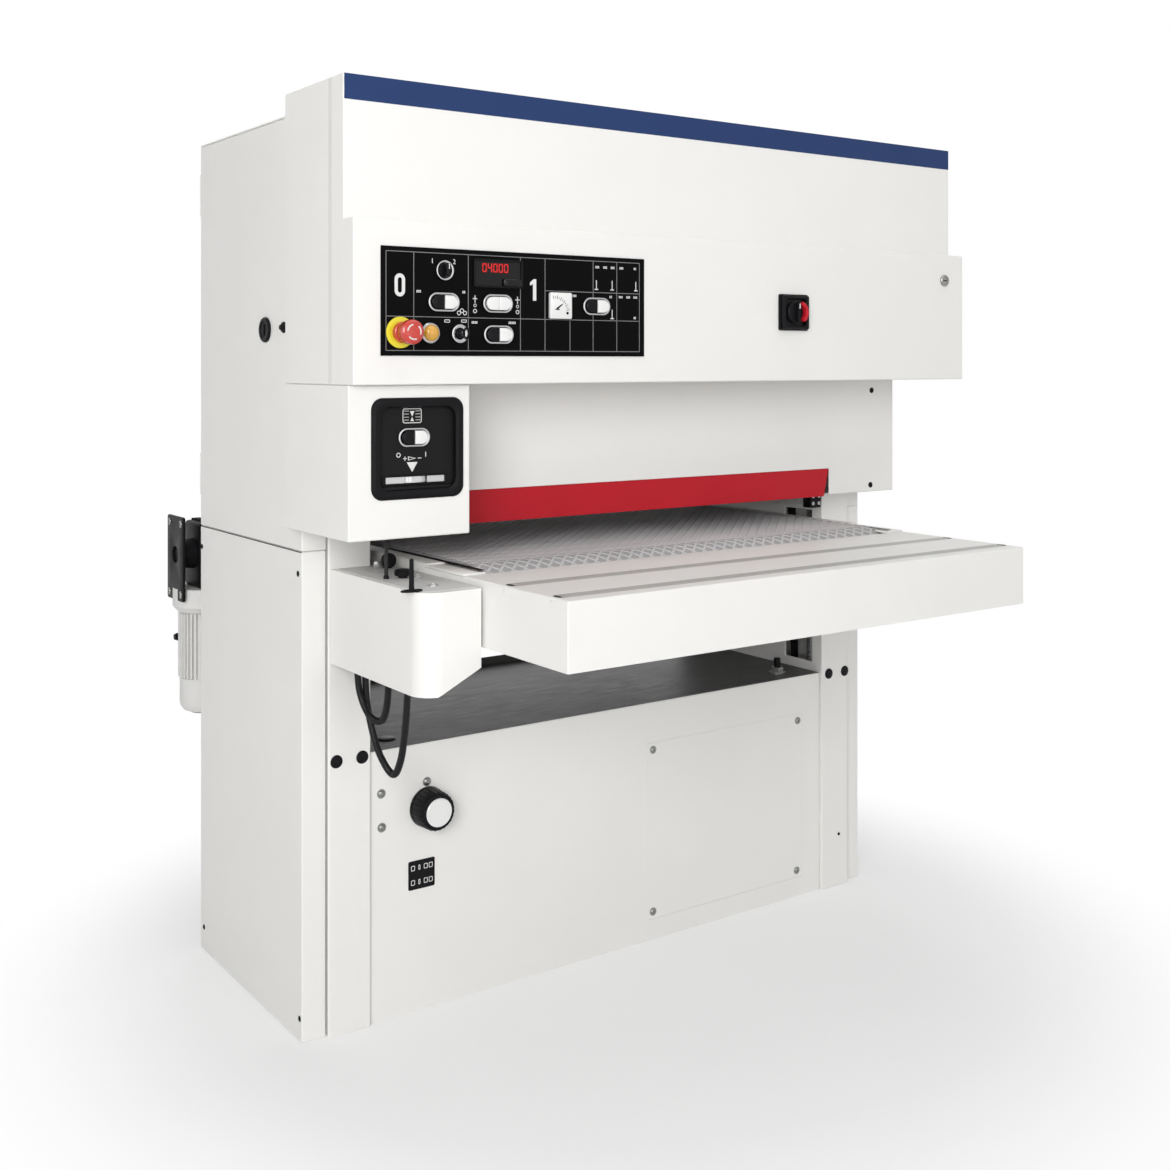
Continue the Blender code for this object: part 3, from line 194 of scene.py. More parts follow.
def make_materials():
    return {
        "white": finish("white_powder_coat", (0.8, 0.792, 0.77), 0.42, relief=0.1, patches=0.012, grain=650,
                        gloss=0.3),
        # apron roller grey, darker than the rollers' own light grey: partly painted shade; also used for
        # painted shade strips on the apron
        "roller_grey_and_shade": finish("apron_roller_grey_and_painted_shade", (0.4, 0.4, 0.385), 0.36, relief=0.08, patches=0.04,
                               grain=500, gloss=0.3),
        # dark grey for a sheet over the white deck: painted shade under the table and head
        "deck_shade": finish("deck_painted_shade", (0.1, 0.1, 0.098), 0.45, patches=0.1,
                            stretch=(1, 9, 1), relief=0.06, gloss=0.06),
        "box_deck": finish("cable_box_lid", (0.56, 0.56, 0.55), 0.42, patches=0.03, relief=0.1, gloss=0.3),
        # grey for panel seams, and painted shade on the posts' side faces
        "seam_and_shade": finish("panel_seam_and_painted_shade", (0.36, 0.36, 0.355), 0.6, gloss=0.1),
        "blue": finish("blue_band", (0.021, 0.044, 0.132), 0.45, relief=0.05, patches=0.04, gloss=0.12),
        "red": finish("red_powder_coat", (0.47, 0.01, 0.02), 0.4, relief=0.1, patches=0.05, gloss=0.2),
        "black": finish("black_moulding", (0.007, 0.007, 0.008), 0.42, grain=1400, relief=0.15, gloss=0.09),
        "fascia": finish("black_fascia_film", (0.0032, 0.0032, 0.0036), 0.5, grain=2500, relief=0.1,
                         gloss=0.03),
        "print": finish("white_print", (0.7, 0.7, 0.69), 0.5, patches=0.05, gloss=0.2),
        "faint_print": finish("grey_print", (0.24, 0.24, 0.24), 0.5, patches=0.05, gloss=0.2),
        "chrome": finish("bezel_chrome", (0.46, 0.46, 0.47), 0.2, metallic=1.0, relief=0.02, spread=0.04),
        "steel": finish("turned_steel", (0.46, 0.47, 0.48), 0.32, metallic=1.0, stretch=(40, 1, 1),
                        relief=0.15),
        "zinc": finish("zinc_screw", (0.3, 0.3, 0.29), 0.32, metallic=1.0, patches=0.15, relief=0.1),
        "inset": finish("inset_plastic", (0.011, 0.011, 0.011), 0.5, grain=900, relief=0.5, patches=0.15,
                        gloss=0.08),
        "bright": finish("bright_wheel", (0.52, 0.52, 0.52), 0.3, metallic=0.7, relief=0.05, spread=0.05),
        "cap_white": finish("white_cap", (0.76, 0.76, 0.75), 0.25, relief=0.02, coat=0.3),
        "cap_black": finish("black_cap", (0.006, 0.006, 0.007), 0.24, relief=0.02, gloss=0.11),
        "glass": finish("display_glass", (0.006, 0.005, 0.005), 0.12, relief=0.0, spread=0.03, gloss=0.25),
        "estop_red": finish("estop_red", (0.5, 0.035, 0.022), 0.28, relief=0.03, coat=0.3),
        "estop_yellow": finish("collar_yellow", (0.76, 0.66, 0.03), 0.32, relief=0.03),
        "amber": finish("amber_lens", (0.66, 0.34, 0.03), 0.18, relief=0.02, coat=0.6),
        "digits": glowing("red_digits", (0.5, 0.01, 0.012), 0.5),
        "rubber": finish("black_rubber", (0.018, 0.018, 0.018), 0.62, grain=500, relief=0.2, patches=0.1,
                         gloss=0.25),
        "belt": finish("belt_rubber", (0.36, 0.354, 0.356), 0.78, grain=700, relief=0.3, patches=0.08,
                       gloss=0.15),
        "tread": finish("tread_rubber", (0.56, 0.55, 0.555), 0.7, grain=700, relief=0.25, patches=0.08,
                        gloss=0.15),
        "hose": finish("conduit_black", (0.007, 0.007, 0.008), 0.36, grain=600, relief=0.1, patches=0.06,
                       gloss=0.2),
        "grey": finish("machine_grey", (0.17, 0.175, 0.18), 0.45, relief=0.15, patches=0.05, gloss=0.3),
        "abrasive": finish("abrasive_grain", (0.16, 0.075, 0.045), 0.85, grain=1800, relief=0.9, patches=0.12,
                           gloss=0.2),
        "motor": finish("motor_white", (0.68, 0.675, 0.66), 0.45, relief=0.12, patches=0.03, gloss=0.3),
    }


# ---- mesh helpers

def from_bmesh(name, built, surface, body, sharp=35):
    bmesh.ops.recalc_face_normals(built, faces=built.faces)
    mesh = bpy.data.meshes.new(name)
    built.to_mesh(mesh)
    built.free()
    mesh.materials.append(SURFACES[surface])
    mesh.shade_smooth()
    mesh.set_sharp_from_angle(angle=math.radians(sharp))
    made = add_object(name, mesh)
    if body:
        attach(made, body)
    return made


def round_edges(built, width, segments=2, least_angle=30):
    bevel(built, steep_edges(built, least_angle), width, segments)


def bevel(built, edges, width, segments):
    bmesh.ops.bevel(built, geom=edges, offset=width, segments=segments, profile=0.5, affect="EDGES",
                    clamp_overlap=True)


def steep_edges(built, least_angle):
    """Edges at which the surface turns by more than least_angle degrees."""
    least = math.radians(least_angle)
    return [edge for edge in built.edges if len(edge.link_faces) == 2 and edge.calc_face_angle() > least]


def skin(built, rings):
    """Joins rings of points one after another and closes both ends."""
    for first, second in zip(rings, rings[1:]):
        for step in range(len(first)):
            after = (step + 1) % len(first)
            built.faces.new((first[step], first[after], second[after], second[step]))
    built.faces.new(rings[0])
    built.faces.new(rings[-1])


def add_block(built, low, high):
    size = Vector(high) - Vector(low)
    matrix = Matrix.Translation((Vector(low) + Vector(high)) / 2) @ Matrix.Diagonal((*size, 1))
    return bmesh.ops.create_cube(built, size=1.0, matrix=matrix)["verts"]


def block(name, low, high, surface, body, radius=0.0006, segments=2):
    built = bmesh.new()
    add_block(built, low, high)
    if radius:
        round_edges(built, radius, segments)
    return from_bmesh(name, built, surface, body)


def add_turned(built, profile, axis, centre, sides):
    """Adds a profile of (distance along the axis, radius) turned about an axis through centre."""
    rings = []
    for along, radius in profile:
        ring = []
        for step in range(sides if radius > 1e-6 else 1):
            angle = 2 * math.pi * step / sides
            point = [0.0, 0.0, 0.0]
            point[axis] = along
            point[(axis + 1) % 3] = radius * math.cos(angle)
            point[(axis + 2) % 3] = radius * math.sin(angle)
            ring.append(built.verts.new(Vector(point) + Vector(centre)))
        rings.append(ring)
    for first, second in zip(rings, rings[1:]):
        for step in range(sides):
            after = (step + 1) % sides
            corners = [first[step % len(first)], first[after % len(first)],
                       second[after % len(second)], second[step % len(second)]]
            unique = list(dict.fromkeys(corners))
            if len(unique) > 2:
                built.faces.new(unique)
    for ring in (rings[0], rings[-1]):
        if len(ring) > 1:
            built.faces.new(ring)


def turned(name, profile, axis, centre, surface, body, sides=32, sharp=35):
    """Profile distances are measured from centre along the axis."""
    built = bmesh.new()
    add_turned(built, profile, axis, centre, sides)
    return from_bmesh(name, built, surface, body, sharp)


def mm(*points):
    """Points given in millimetres."""
    return [(first / 1000, second / 1000) for first, second in points]


def rod(low, high, radius):
    """The profile of a plain rod, for turned()."""
    return [(low, 0.0), (low, radius), (high, radius), (high, 0.0)]


def arc(centre, radius, start, end, steps):
    points = []
    for step in range(steps + 1):
        angle = math.radians(start + (end - start) * step / steps)
        points.append((centre[0] + radius * math.cos(angle), centre[1] + radius * math.sin(angle)))
    return points


def circle(centre, radius, sides=24):
    return arc(centre, radius, 0, 360 - 360 / sides, sides - 1)


def rounded_outline(x, z, radius, steps=6):
    """A rectangle with round corners, anticlockwise."""
    points = []
    for cx, cz, start in ((x[1] - radius, z[1] - radius, 0), (x[0] + radius, z[1] - radius, 90),
                          (x[0] + radius, z[0] + radius, 180), (x[1] - radius, z[0] + radius, 270)):
        points += arc((cx, cz), radius, start, start + 90, steps)
    return points


def around(x, z, half_x, half_z, radius, steps=2):
    """A rectangle with round corners, about its middle."""
    return rounded_outline((x - half_x, x + half_x), (z - half_z, z + half_z), radius, steps)


def inside(x, z, margin, radius, steps):
    """A rectangle with round corners, a margin in from the edges x and z."""
    return rounded_outline((x[0] + margin, x[1] - margin), (z[0] + margin, z[1] - margin), radius, steps)


def rectangle(x0, x1, z0, z1):
    return [(x0, z0), (x1, z0), (x1, z1), (x0, z1)]


def lift(point, axis, along):
    """A flat outline's point put at a distance along the axis it faces."""
    others = [i for i in range(3) if i != axis]
    made = [0.0, 0.0, 0.0]
    made[others[0]] = point[0]
    made[others[1]] = point[1]
    made[axis] = along
    return made


def knurled(name, centre, axis, sections, sides, wave, surface, body, sharp):
    """Sections are (distance along the axis, radius, depth); wave(step) is the share of the depth cut away."""
    built = bmesh.new()
    rings = []
    for along, radius, depth in sections:
        points = []
        for step in range(sides):
            angle = 2 * math.pi * step / sides
            reach = radius - depth * wave(step)
            place = lift((reach * math.cos(angle), reach * math.sin(angle)), axis, along)
            points.append(built.verts.new(centre + Vector(place)))
        rings.append(points)
    skin(built, rings)
    return from_bmesh(name, built, surface, body, sharp)


def prism(name, outline, axis, low, high, surface, body, radius=0.0, segments=2, sharp=35):
    built = bmesh.new()
    ends = []
    for along in (low, high):
        ends.append([built.verts.new(lift(point, axis, along)) for point in outline])
        built.faces.new(ends[-1])
    for step in range(len(outline)):
        after = (step + 1) % len(outline)
        built.faces.new((ends[0][step], ends[0][after], ends[1][after], ends[1][step]))
    bmesh.ops.recalc_face_normals(built, faces=built.faces)
    if radius:
        rim = [e for e in built.edges if all(v in ends[0] for v in e.verts)
               or all(v in ends[1] for v in e.verts)]
        bevel(built, rim, radius, segments)
    return from_bmesh(name, built, surface, body, sharp)


def ring(name, outer, inner, axis, low, high, surface, body, radius=0.0):
    """A frame between two outlines with the same number of points."""
    built = bmesh.new()
    loops = []
    for along in (low, high):
        loops.append([[built.verts.new(lift(point, axis, along)) for point in outline] for outline in (outer,
                     inner)])
    count = len(outer)
    for step in range(count):
        after = (step + 1) % count
        for side in (0, 1):
            for first, second in ((loops[0][side], loops[1][side]), (loops[side][0], loops[side][1])):
                built.faces.new((first[step], first[after], second[after], second[step]))
    bmesh.ops.recalc_face_normals(built, faces=built.faces)
    if radius:
        round_edges(built, radius, 2, 50)
    return from_bmesh(name, built, surface, body)


def flat(name, outline, face, hole=None, surface="print", body="control_door"):
    """A printed shape on a panel's face, or a printed frame round a hole."""
    span = (1, face - PROUD, face + PROUD, surface, body)
    if hole:
        return ring(name, outline, hole, *span)
    return prism(name, outline, *span)


def is_wide(face, least):
    longest = max(edge.calc_length() for edge in face.edges)
    return face.calc_area() / longest > least


def soften(node, radius, surface, small=0.0007):
    """Stands for a sheet-metal node: the same shape, with folded edges round and cut edges eased."""
    source = frame["nodes"][node]
    built = bmesh.new()
    built.from_mesh(source.data)
    bmesh.ops.remove_doubles(built, verts=built.verts, dist=1e-6)
    bmesh.ops.dissolve_limit(built, angle_limit=math.radians(1), verts=built.verts, edges=built.edges)
    low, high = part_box(node)
    folded = []
    for edge in steep_edges(built, 80):
        a, b = edge.verts[0].co, edge.verts[1].co
        outer = sum(1 for i in range(3) if abs(a[i] - b[i]) < 1e-5
                    and min(abs(a[i] - low[i]), abs(a[i] - high[i])) < 1e-4)
        if outer >= 2 and all(is_wide(face, 3 * radius) for face in edge.link_faces):
            folded.append(edge)
    if folded:
        bevel(built, folded, radius, 4)
    bevel(built, steep_edges(built, 60), small, 1)
    made = from_bmesh(node + "_sheet", built, surface, source["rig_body"], 30)
    normals = made.modifiers.new("even_shading", "WEIGHTED_NORMAL")
    normals.keep_sharp = True
    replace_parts(made, node)


def paint(node, surface):
    data = frame["nodes"][node].data
    for index in range(len(data.materials)):
        data.materials[index] = SURFACES[surface]
    data.shade_smooth()
    data.set_sharp_from_angle(angle=math.radians(35))


# ---- fasteners

def hex_screw(name, place, axis, way, surface, body, radius=0.006):
    """A button-head screw with a hexagon socket; way is the direction along the axis in which it faces."""
    built = bmesh.new()
    dome = [(way * radius * 0.55 * math.cos(math.radians(a)), radius * math.sin(math.radians(a)))
            for a in (90, 70, 50, 34)]
    socket = [(way * radius * 0.46, radius * 0.5), (way * radius * 0.15, radius * 0.46),
              (way * radius * 0.12, 0)]
    add_turned(built, [(0, radius * 1.35), (way * radius * 0.12, radius * 1.35), (way * radius * 0.12, radius)]
               + dome + socket, axis, place, 18)
    return from_bmesh(name, built, surface, body, 40)


def plug(name, place, axis, way, radius, surface, body):
    return turned(name, [(0, radius), (way * 0.0012, radius * 0.97), (way * 0.002, radius * 0.85),
                  (way * 0.0022, 0)], axis, place, surface, body, 28)


def screws(name, places, axis, way, surface, radius, body="frame"):
    for index, place in enumerate(places):
        hex_screw(f"{name}_{index}", place, axis, way, surface, body, radius)


# ---- conduits

CONDUIT_R = 0.0065
SHORT_ROUTE = [(0.086, -0.0015, 0.742), (0.086, -0.026, 0.741), (0.088, -0.036, 0.7), (0.092, -0.042, 0.645),
               (0.101, -0.066, 0.606), (0.108, -0.1, 0.606), (0.107, -0.122, 0.645), (0.106, -0.128, 0.7),
               (0.106, -0.13, 0.79), (0.106, -0.13, 0.871)]
LONG_ROUTE = [(0.108, -0.0015, 0.742), (0.108, -0.026, 0.741), (0.104, -0.037, 0.7), (0.106, -0.044, 0.62),
              (0.114, -0.07, 0.545), (0.119, -0.118, 0.51), (0.114, -0.16, 0.545), (0.111, -0.185, 0.62),
              (0.11, -0.195, 0.7), (0.11, -0.2, 0.79), (0.11, -0.2, 0.871)]
RIB_PITCH = 0.003      # of the corrugated hose


def smooth_route(route, step):
    """Points at even steps along a Catmull-Rom curve through the route."""
    ends = [2 * route[0] - route[1]] + route + [2 * route[-1] - route[-2]]
    fine = []
    for a, b, c, d in zip(ends, ends[1:], ends[2:], ends[3:]):
        for part in range(20):
            t = part / 20
            fine.append(0.5 * (2 * b + (c - a) * t + (2 * a - 5 * b + 4 * c - d) * t * t
                               + (3 * b - a - 3 * c + d) * t ** 3))
    fine.append(route[-1])
    lengths = [0.0]
    for first, second in zip(fine, fine[1:]):
        lengths.append(lengths[-1] + (second - first).length)
    count = max(2, round(lengths[-1] / step))
    points = []
    index = 0
    for number in range(count + 1):
        target = lengths[-1] * number / count
        while index < len(fine) - 2 and lengths[index + 1] < target:
            index += 1
        share = (target - lengths[index]) / (lengths[index + 1] - lengths[index])
        points.append(fine[index].lerp(fine[index + 1], min(1.0, max(0.0, share))))
    return points


def tube(name, points, radius_at, sides, surface, body):
    """A closed tube along points; radius_at(index) gives each ring's radius."""
    built = bmesh.new()
    normal = Vector((1, 0, 0))
    rings = []
    for index, point in enumerate(points):
        before, after = points[max(index - 1, 0)], points[min(index + 1, len(points) - 1)]
        along = (after - before).normalized()
        normal = (normal - along * normal.dot(along)).normalized()
        other = along.cross(normal)
        section = []
        for step in range(sides):
            angle = 2 * math.pi * step / sides
            reach = normal * math.cos(angle) + other * math.sin(angle)
            section.append(built.verts.new(point + radius_at(index) * reach))
        rings.append(section)
    skin(built, rings)
    return from_bmesh(name, built, surface, body, 60)


def make_conduit(name, route):
    path = smooth_route([at(*point) for point in route], RIB_PITCH / 2)
    hose = tube(name + "_hose", path, lambda index: CONDUIT_R * (1.03 if index % 2 else 0.9), 16, "hose", None)
    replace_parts(hose, name)
    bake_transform(hose)
    gland = at(route[0][0], 0, route[0][2])
    turned(name + "_gland", mm((-1, 12.5), (-8, 12.5), (-8, 10.5), (-18, 9.8), (-18.5, 7.2)), 1, gland,
           "black", "frame", 6)
    turned(name + "_gland_collar", mm((-0.3, 14), (-2.2, 14), (-2.6, 12)), 1, gland, "black", "frame", 24)


# ---- cabinet sheets

def make_sheets():
    for node in ("base_frame", "left_column", "right_column", "left_lower_cover", "left_upper_door",
                 "right_lower_cover", "right_upper_cover", "upper_rear_panel", "roof_panel", "hood_shell",
                 "hood_front_cover", "upper_front_panel", "thickness_box", "control_door", "infeed_apron"):
        soften(node, 0.003, "white")
    soften("access_plate", 0.0, "white", 0.0003)
    soften("cable_box", 0.0015, "white", 0.0005)


BAND_FOOT = 1.7055      # height of the blue band's lower edge


def make_blue_band():
    low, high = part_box("hood_front_cover")
    outline = rounded_outline((low.x + 0.0016, high.x - 0.0016), (BAND_FOOT, high.z - 0.0009), 0.0005, 1)
    prism("hood_blue_band", outline, 1, low.y - 0.0003, low.y + 0.001, "blue", "frame")


def make_side_seams():
    for label, way in SIDES:
        low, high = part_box(f"{label}_lower_cover")
        inner, outer = (low.x, high.x) if way > 0 else (high.x, low.x)
        xs = sorted((inner - way * 0.0004, inner - way * 0.0014))
        # the post's side face in the slot beside the cover, white in itself, is drawn grey: painted shade of
        # the slot
        block(f"post_edge_{label}", (xs[0], low.y - 0.0072, 0.003), (xs[1], low.y + 0.0075, 1.219), "seam_and_shade",
              "frame", 0)
        block(f"cover_top_seam_{label}", (outer - PROUD, low.y + 0.0015, high.z - 0.0018),
              (outer + PROUD, high.y - 0.0015, high.z - 0.0001), "inset", "frame", 0)
    low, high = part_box("hood_shell")
    for label, x in (("left", low.x), ("right", high.x)):
        for index, y in enumerate((-0.183, -0.1905)):
            block(f"hood_seam_{label}_{index}", (x - PROUD, FRONT + y - 0.0005, low.z + 0.002),
                  (x + PROUD, FRONT + y + 0.0005, high.z - 0.002), "seam_and_shade", "frame", 0)


def make_side_fittings():
    places = ((0.531, 0.864), (0.029, 0.867), (0.519, 0.05), (0.022, 0.043))
    screws("left_cover_screw", [at(0, y, z) for y, z in places], 0, -1, "black", 0.0042)
    screws("right_cover_screw", [at(WIDTH, y, z) for y, z in places], 0, 1, "black", 0.0042)
    places = ((0.06, 1.66), (0.5, 1.66), (0.06, 0.96), (0.5, 0.96))
    screws("right_upper_screw", [at(WIDTH, y, z) for y, z in places], 0, 1, "zinc", 0.0042)
    turned("door_side_button", mm((0, 10.5), (-3, 10.5), (-5, 8.5), (-5, 6), (-9.5, 4.5), (-10, 0)), 0,
           at(0, 0.092, 1.326), "black", "left_door", 28)
    lock = at(0, 0.18, 1.323)
    rim = turned("lock_rim", mm((-0.3, 24.5), (-4, 24.5), (-6.2, 22.5), (-6.2, 17.5), (-4.2, 16.5), (-4.2, 0)),
                 0, lock, "black", "door_lock", 40)
    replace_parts(rim, "door_lock")
    block("lock_slot", lock + Vector((-0.0065, -0.0016, -0.0115)), lock + Vector((-0.0042, 0.0016, 0.0115)),
          "black", "door_lock", 0.0005)
    for index, z in enumerate((1.02, 1.62)):
        turned(f"door_hinge_{index}", rod(z - 0.045, z + 0.045, 0.0062), 2, at(0.008, 0.5465, 0), "white",
               "frame", 20)


def make_posts():
    for index, x in enumerate((0.064, 0.117, 1.348, 1.401)):
        plug(f"post_plug_{index}", at(x, 0, 0.514), 1, -1, 0.0125, "black", "frame")
    # a black disc paints the shade inside the hole in the right post
    plug("right_post_hole_shade", at(1.381, 0, 0.124), 1, -1, 0.0035, "black", "frame")
    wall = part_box("base_frame")[0].y
    places = ((0.161, 0.435), (0.162, 0.37), (0.26, 0.4415))
    screws("front_screw", [at(x, wall - FRONT, z) for x, z in places], 1, -1, "zinc", 0.0068)
    places = ((0.82, 0.414), (1.253, 0.414), (0.82, 0.061), (1.25, 0.061))
    screws("plate_screw", [at(x, wall - FRONT, z) for x, z in places], 1, -1, "zinc", 0.0065)
    prism("front_symbol_plate", rounded_outline((LEFT + 0.219, LEFT + 0.277), (0.236, 0.292), 0.003, 3), 1,
          wall - 0.0008, wall - 0.0001, "black", "frame")
    symbols = ((0.229, 0.0042), (0.243, 0.002), (0.257, 0.0042), (0.268, 0.0042))
    for row, z in enumerate((0.278, 0.25)):
        for column, (x, half) in enumerate(symbols):
            ring(f"symbol_{row}_{column}", around(LEFT + x, z, half, 0.005, 0.0015),
                 around(LEFT + x, z, half - 0.0012, 0.0037, 0.0006), 1, wall - 0.001, wall - 0.0007, "print",
                 "frame")
    screws("panel_screw", [at(1.386, -0.102, 1.194), at(1.382, -0.102, 0.972)], 1, -1, "black", 0.005)


def make_deck():
    base_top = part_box("base_frame")[1].z
    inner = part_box("head_beam")[1].x - GAP
    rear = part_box("left_column")[1].y - 0.001
    # a dark sheet and rear lip over the white deck top paint the shade that falls on the deck
    block("deck_shade_sheet", (-inner, FRONT + 0.0095, base_top - 0.001), (inner, rear, base_top + 0.0004),
          "deck_shade", "frame", 0)
    block("deck_rear_lip", (-inner, rear - 0.002, base_top + 0.0003), (inner, rear, base_top + 0.02),
          "deck_shade", "frame", 0.0004)
    bolt = at(1.241, 0.065, base_top)
    washer = mm((0, 20), (3, 20), (3, 0))
    turned("deck_bolt_washer", washer, 2, bolt, "zinc", "frame", 32)
    nut = mm((3, 15), (14.5, 15), (15, 13.8))
    turned("deck_bolt_nut", nut, 2, bolt, "zinc", "frame", 6)
    stud = mm((0, 8), (34, 8), (36, 6.5))
    turned("deck_bolt_stud", stud, 2, bolt, "black", "frame", 24)
    cap = mm((0, 20), (1.5, 20), (3, 17), (3, 0))
    turned("deck_plug", cap, 2, at(0.205, 0.075, base_top), "black", "frame", 32)


# ---- controls

CAP_CLEAR = 0.0044              # under a key, for its 4 mm of travel
CAP_PITCH = 0.0225              # between the stems of two keys
KEY_R = 0.0118                  # of a key's round end
STEM_SIZE = (0.017, 0.018)      # under a key, inside its hole in the panel


def make_double_button(name, x, z, face, left_body, right_body):
    """A chrome rim round a black and a white key that work alone."""
    owner = "control_door" if name != "thickness" else "frame"
    ring(name + "_bezel", around(x, z, 0.031, 0.0165, 0.0164, 10), around(x, z, 0.0262, 0.0128, 0.0127, 10), 1,
         face - 0.006, face - 0.0001, "chrome", owner, 0.0016)
    for (label, way), surface, body in zip(SIDES, ("cap_black", "cap_white"), (left_body, right_body)):
        near = x + way * 0.0003
        outline = arc((x + way * 0.0132, z), KEY_R, -90 * way, 180 - 90 * way, 12)
        outline += [(near, z + way * KEY_R), (near, z - way * KEY_R)]
        if name == "belt":
            surface = "cap_white"
        height = 0.0085 if surface == "cap_black" else 0.01
        cap = prism(f"{name}_cap_{label}", outline, 1, face - height, face - CAP_CLEAR, surface, body, 0.0018,
                    4)
        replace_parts(cap, body)
        middle = x + way * CAP_PITCH / 2
        wide, tall = STEM_SIZE
        block(f"{name}_stem_{label}", (middle - wide / 2, face - CAP_CLEAR - 0.0002, z - tall / 2),
              (middle + wide / 2, face + 0.003, z + tall / 2), surface, body, 0)


def mark(name, x, z, face, text, size):
    """A printed digit on the control door, turned into a flat mesh."""
    data = bpy.data.curves.new(name, "FONT")
    data.body = text
    data.size = size
    data.align_x = "CENTER"
    data.align_y = "CENTER"
    data.extrude = 0.0001
    holder = add_object(name + "_text", data)
    bpy.context.view_layer.update()
    mesh = bpy.data.meshes.new_from_object(holder)
    bpy.data.objects.remove(holder)
    mesh.transform(Matrix.Translation((x, face - PROUD, z)) @ Matrix.Rotation(math.radians(90), 4, "X"))
    mesh.name = name
    mesh.materials.clear()
    mesh.materials.append(SURFACES["print"])
    made = add_object(name, mesh)
    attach(made, "control_door")


def line(name, x, z, face, surface="faint_print", body="control_door"):
    block(name, (x[0], face - PROUD, z[0]), (x[1], face + PROUD, z[1]), surface, body, 0)


GRID_LINE = 0.0011              # width of the panel's printed lines
GRID_COLUMNS = (0.0222, 0.075, 0.1828, 0.2912, 0.3443, 0.3995, 0.4519, 0.5068, 0.5604)
GRID_ROWS = (1.4485, 1.39, 1.338, 1.28)
CAPTIONS = (
    # x, z, letters
    (0.085, 1.3815, 3), (0.174, 1.3825, 2), (0.196, 1.33, 4), (0.274, 1.3305, 5), (0.41, 1.3825, 3),
    (0.493, 1.3825, 2), (0.462, 1.4375, 3), (0.48, 1.4375, 3), (0.4975, 1.4375, 3), (0.518, 1.4375, 3),
    (0.55, 1.4375, 2), (0.5165, 1.383, 3), (0.534, 1.383, 3), (0.551, 1.383, 3), (0.55, 1.344, 2),
)
CIRCLES = (
    # x, z, radius
    (0.164, 1.346, 0.004), (0.17, 1.35, 0.004), (0.176, 1.346, 0.004), (0.1965, 1.35, 0.0038),
    (0.1965, 1.36, 0.003), (0.285, 1.35, 0.0038), (0.285, 1.36, 0.003),
)


def make_fascia():
    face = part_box("control_fascia")[0].y
    paint("control_fascia", "fascia")
    half = GRID_LINE / 2
    columns = [LEFT + x for x in GRID_COLUMNS]
    top, upper, middle, bottom = GRID_ROWS
    spans = [(columns[index], top, bottom) for index in range(9)]
    spans[5] = (columns[5], upper, bottom)
    spans[6] = (columns[6], top, 1.3795)
    spans.append((columns[6], 1.3485, bottom))
    for index, (x, z_high, z_low) in enumerate(spans):
        line(f"grid_column_{index}", (x - half, x + half), (z_low, z_high), face)
    rows = ((0, 8, top), (0, 8, bottom), (0, 3, middle), (3, 8, middle), (4, 8, upper))
    for index, (start, end, z) in enumerate(rows):
        line(f"grid_row_{index}", (columns[start], columns[end]), (z - half, z + half), face)
    x, z = LEFT + 0.0484, 1.3913
    flat("numeral_zero", around(x, z, 0.01, 0.0195, 0.0099, 8), face, around(x, z, 0.0038, 0.013, 0.0037, 8))
    x, z = LEFT + 0.3202, 1.3909
    one = ((0.005, -0.0195), (0.005, 0.0195), (-0.0005, 0.0195), (-0.0085, 0.013), (-0.0085, 0.0075),
           (-0.0022, 0.0105), (-0.0022, -0.0195))
    flat("numeral_one", [(x + px, z + pz) for px, pz in one], face)
    for name, x, z in (("power", 0.1317, 1.364), ("belt", 0.2412, 1.364), ("feed", 0.2428, 1.309),
                       ("mode", 0.457, 1.364)):
        make_double_button(name, LEFT + x, z, face, f"{name}_button_off", f"{name}_button_on")
    make_symbols(face)
    make_display(face)
    make_ammeter(face)
    make_lamp(face)


def make_caption(name, x, z, letters, face):
    """A row of small blocks that stands for a printed word."""
    for index in range(letters):
        left = LEFT + x + (index - letters / 2) * 0.0031
        flat(f"{name}_{index}", rectangle(left, left + 0.0022, z - 0.0021, z + 0.0021), face,
             rectangle(left + 0.0008, left + 0.0014, z - 0.0011, z + 0.0011))


def make_symbols(face):
    """Plain pictograms and blocks in place of words."""
    for word, x, text in (("one", 0.111, "1"), ("two", 0.1545, "2")):
        mark(f"selector_mark_{word}", LEFT + x, 1.4345, face, text, 0.012)
    for index, (x, z, letters) in enumerate(CAPTIONS):
        make_caption(f"caption_{index}", x, z, letters, face)
    for index, (x, z, radius) in enumerate(CIRCLES):
        flat(f"symbol_circle_{index}", circle((LEFT + x, z), radius), face,
             circle((LEFT + x, z), radius * 0.66))
    for index, (x, z) in enumerate(((0.1405, 1.3315), (0.174, 1.332))):
        flat(f"symbol_box_{index}", around(LEFT + x, z, 0.0055, 0.0026, 0.001), face,
             around(LEFT + x, z, 0.0043, 0.0014, 0.0005))
    for index, (x, z) in enumerate(((0.4595, 1.404), (0.496, 1.404), (0.552, 1.404), (0.496, 1.35))):
        make_cross(("stem", "foot"), index, x, z, 0.009, (-0.009, -0.007), 0.004, face)
    for index, x in enumerate((0.1965, 0.285)):
        make_cross(("bar", "cross"), index, x, 1.372, 0.0055, (-0.001, 0.0006), 0.0045, face)


def make_cross(names, index, x, z, top, level, half, face):
    """An upright line up to z + top, with a line of half-width half at z + level."""
    x += LEFT
    line(f"symbol_{names[0]}_{index}", (x - 0.0008, x + 0.0008), (z - 0.0075, z + top), face, "print")
    line(f"symbol_{names[1]}_{index}", (x - half, x + half), (z + level[0], z + level[1]), face, "print")


SEGMENTS = {"0": "abcdef", "4": "bcfg"}


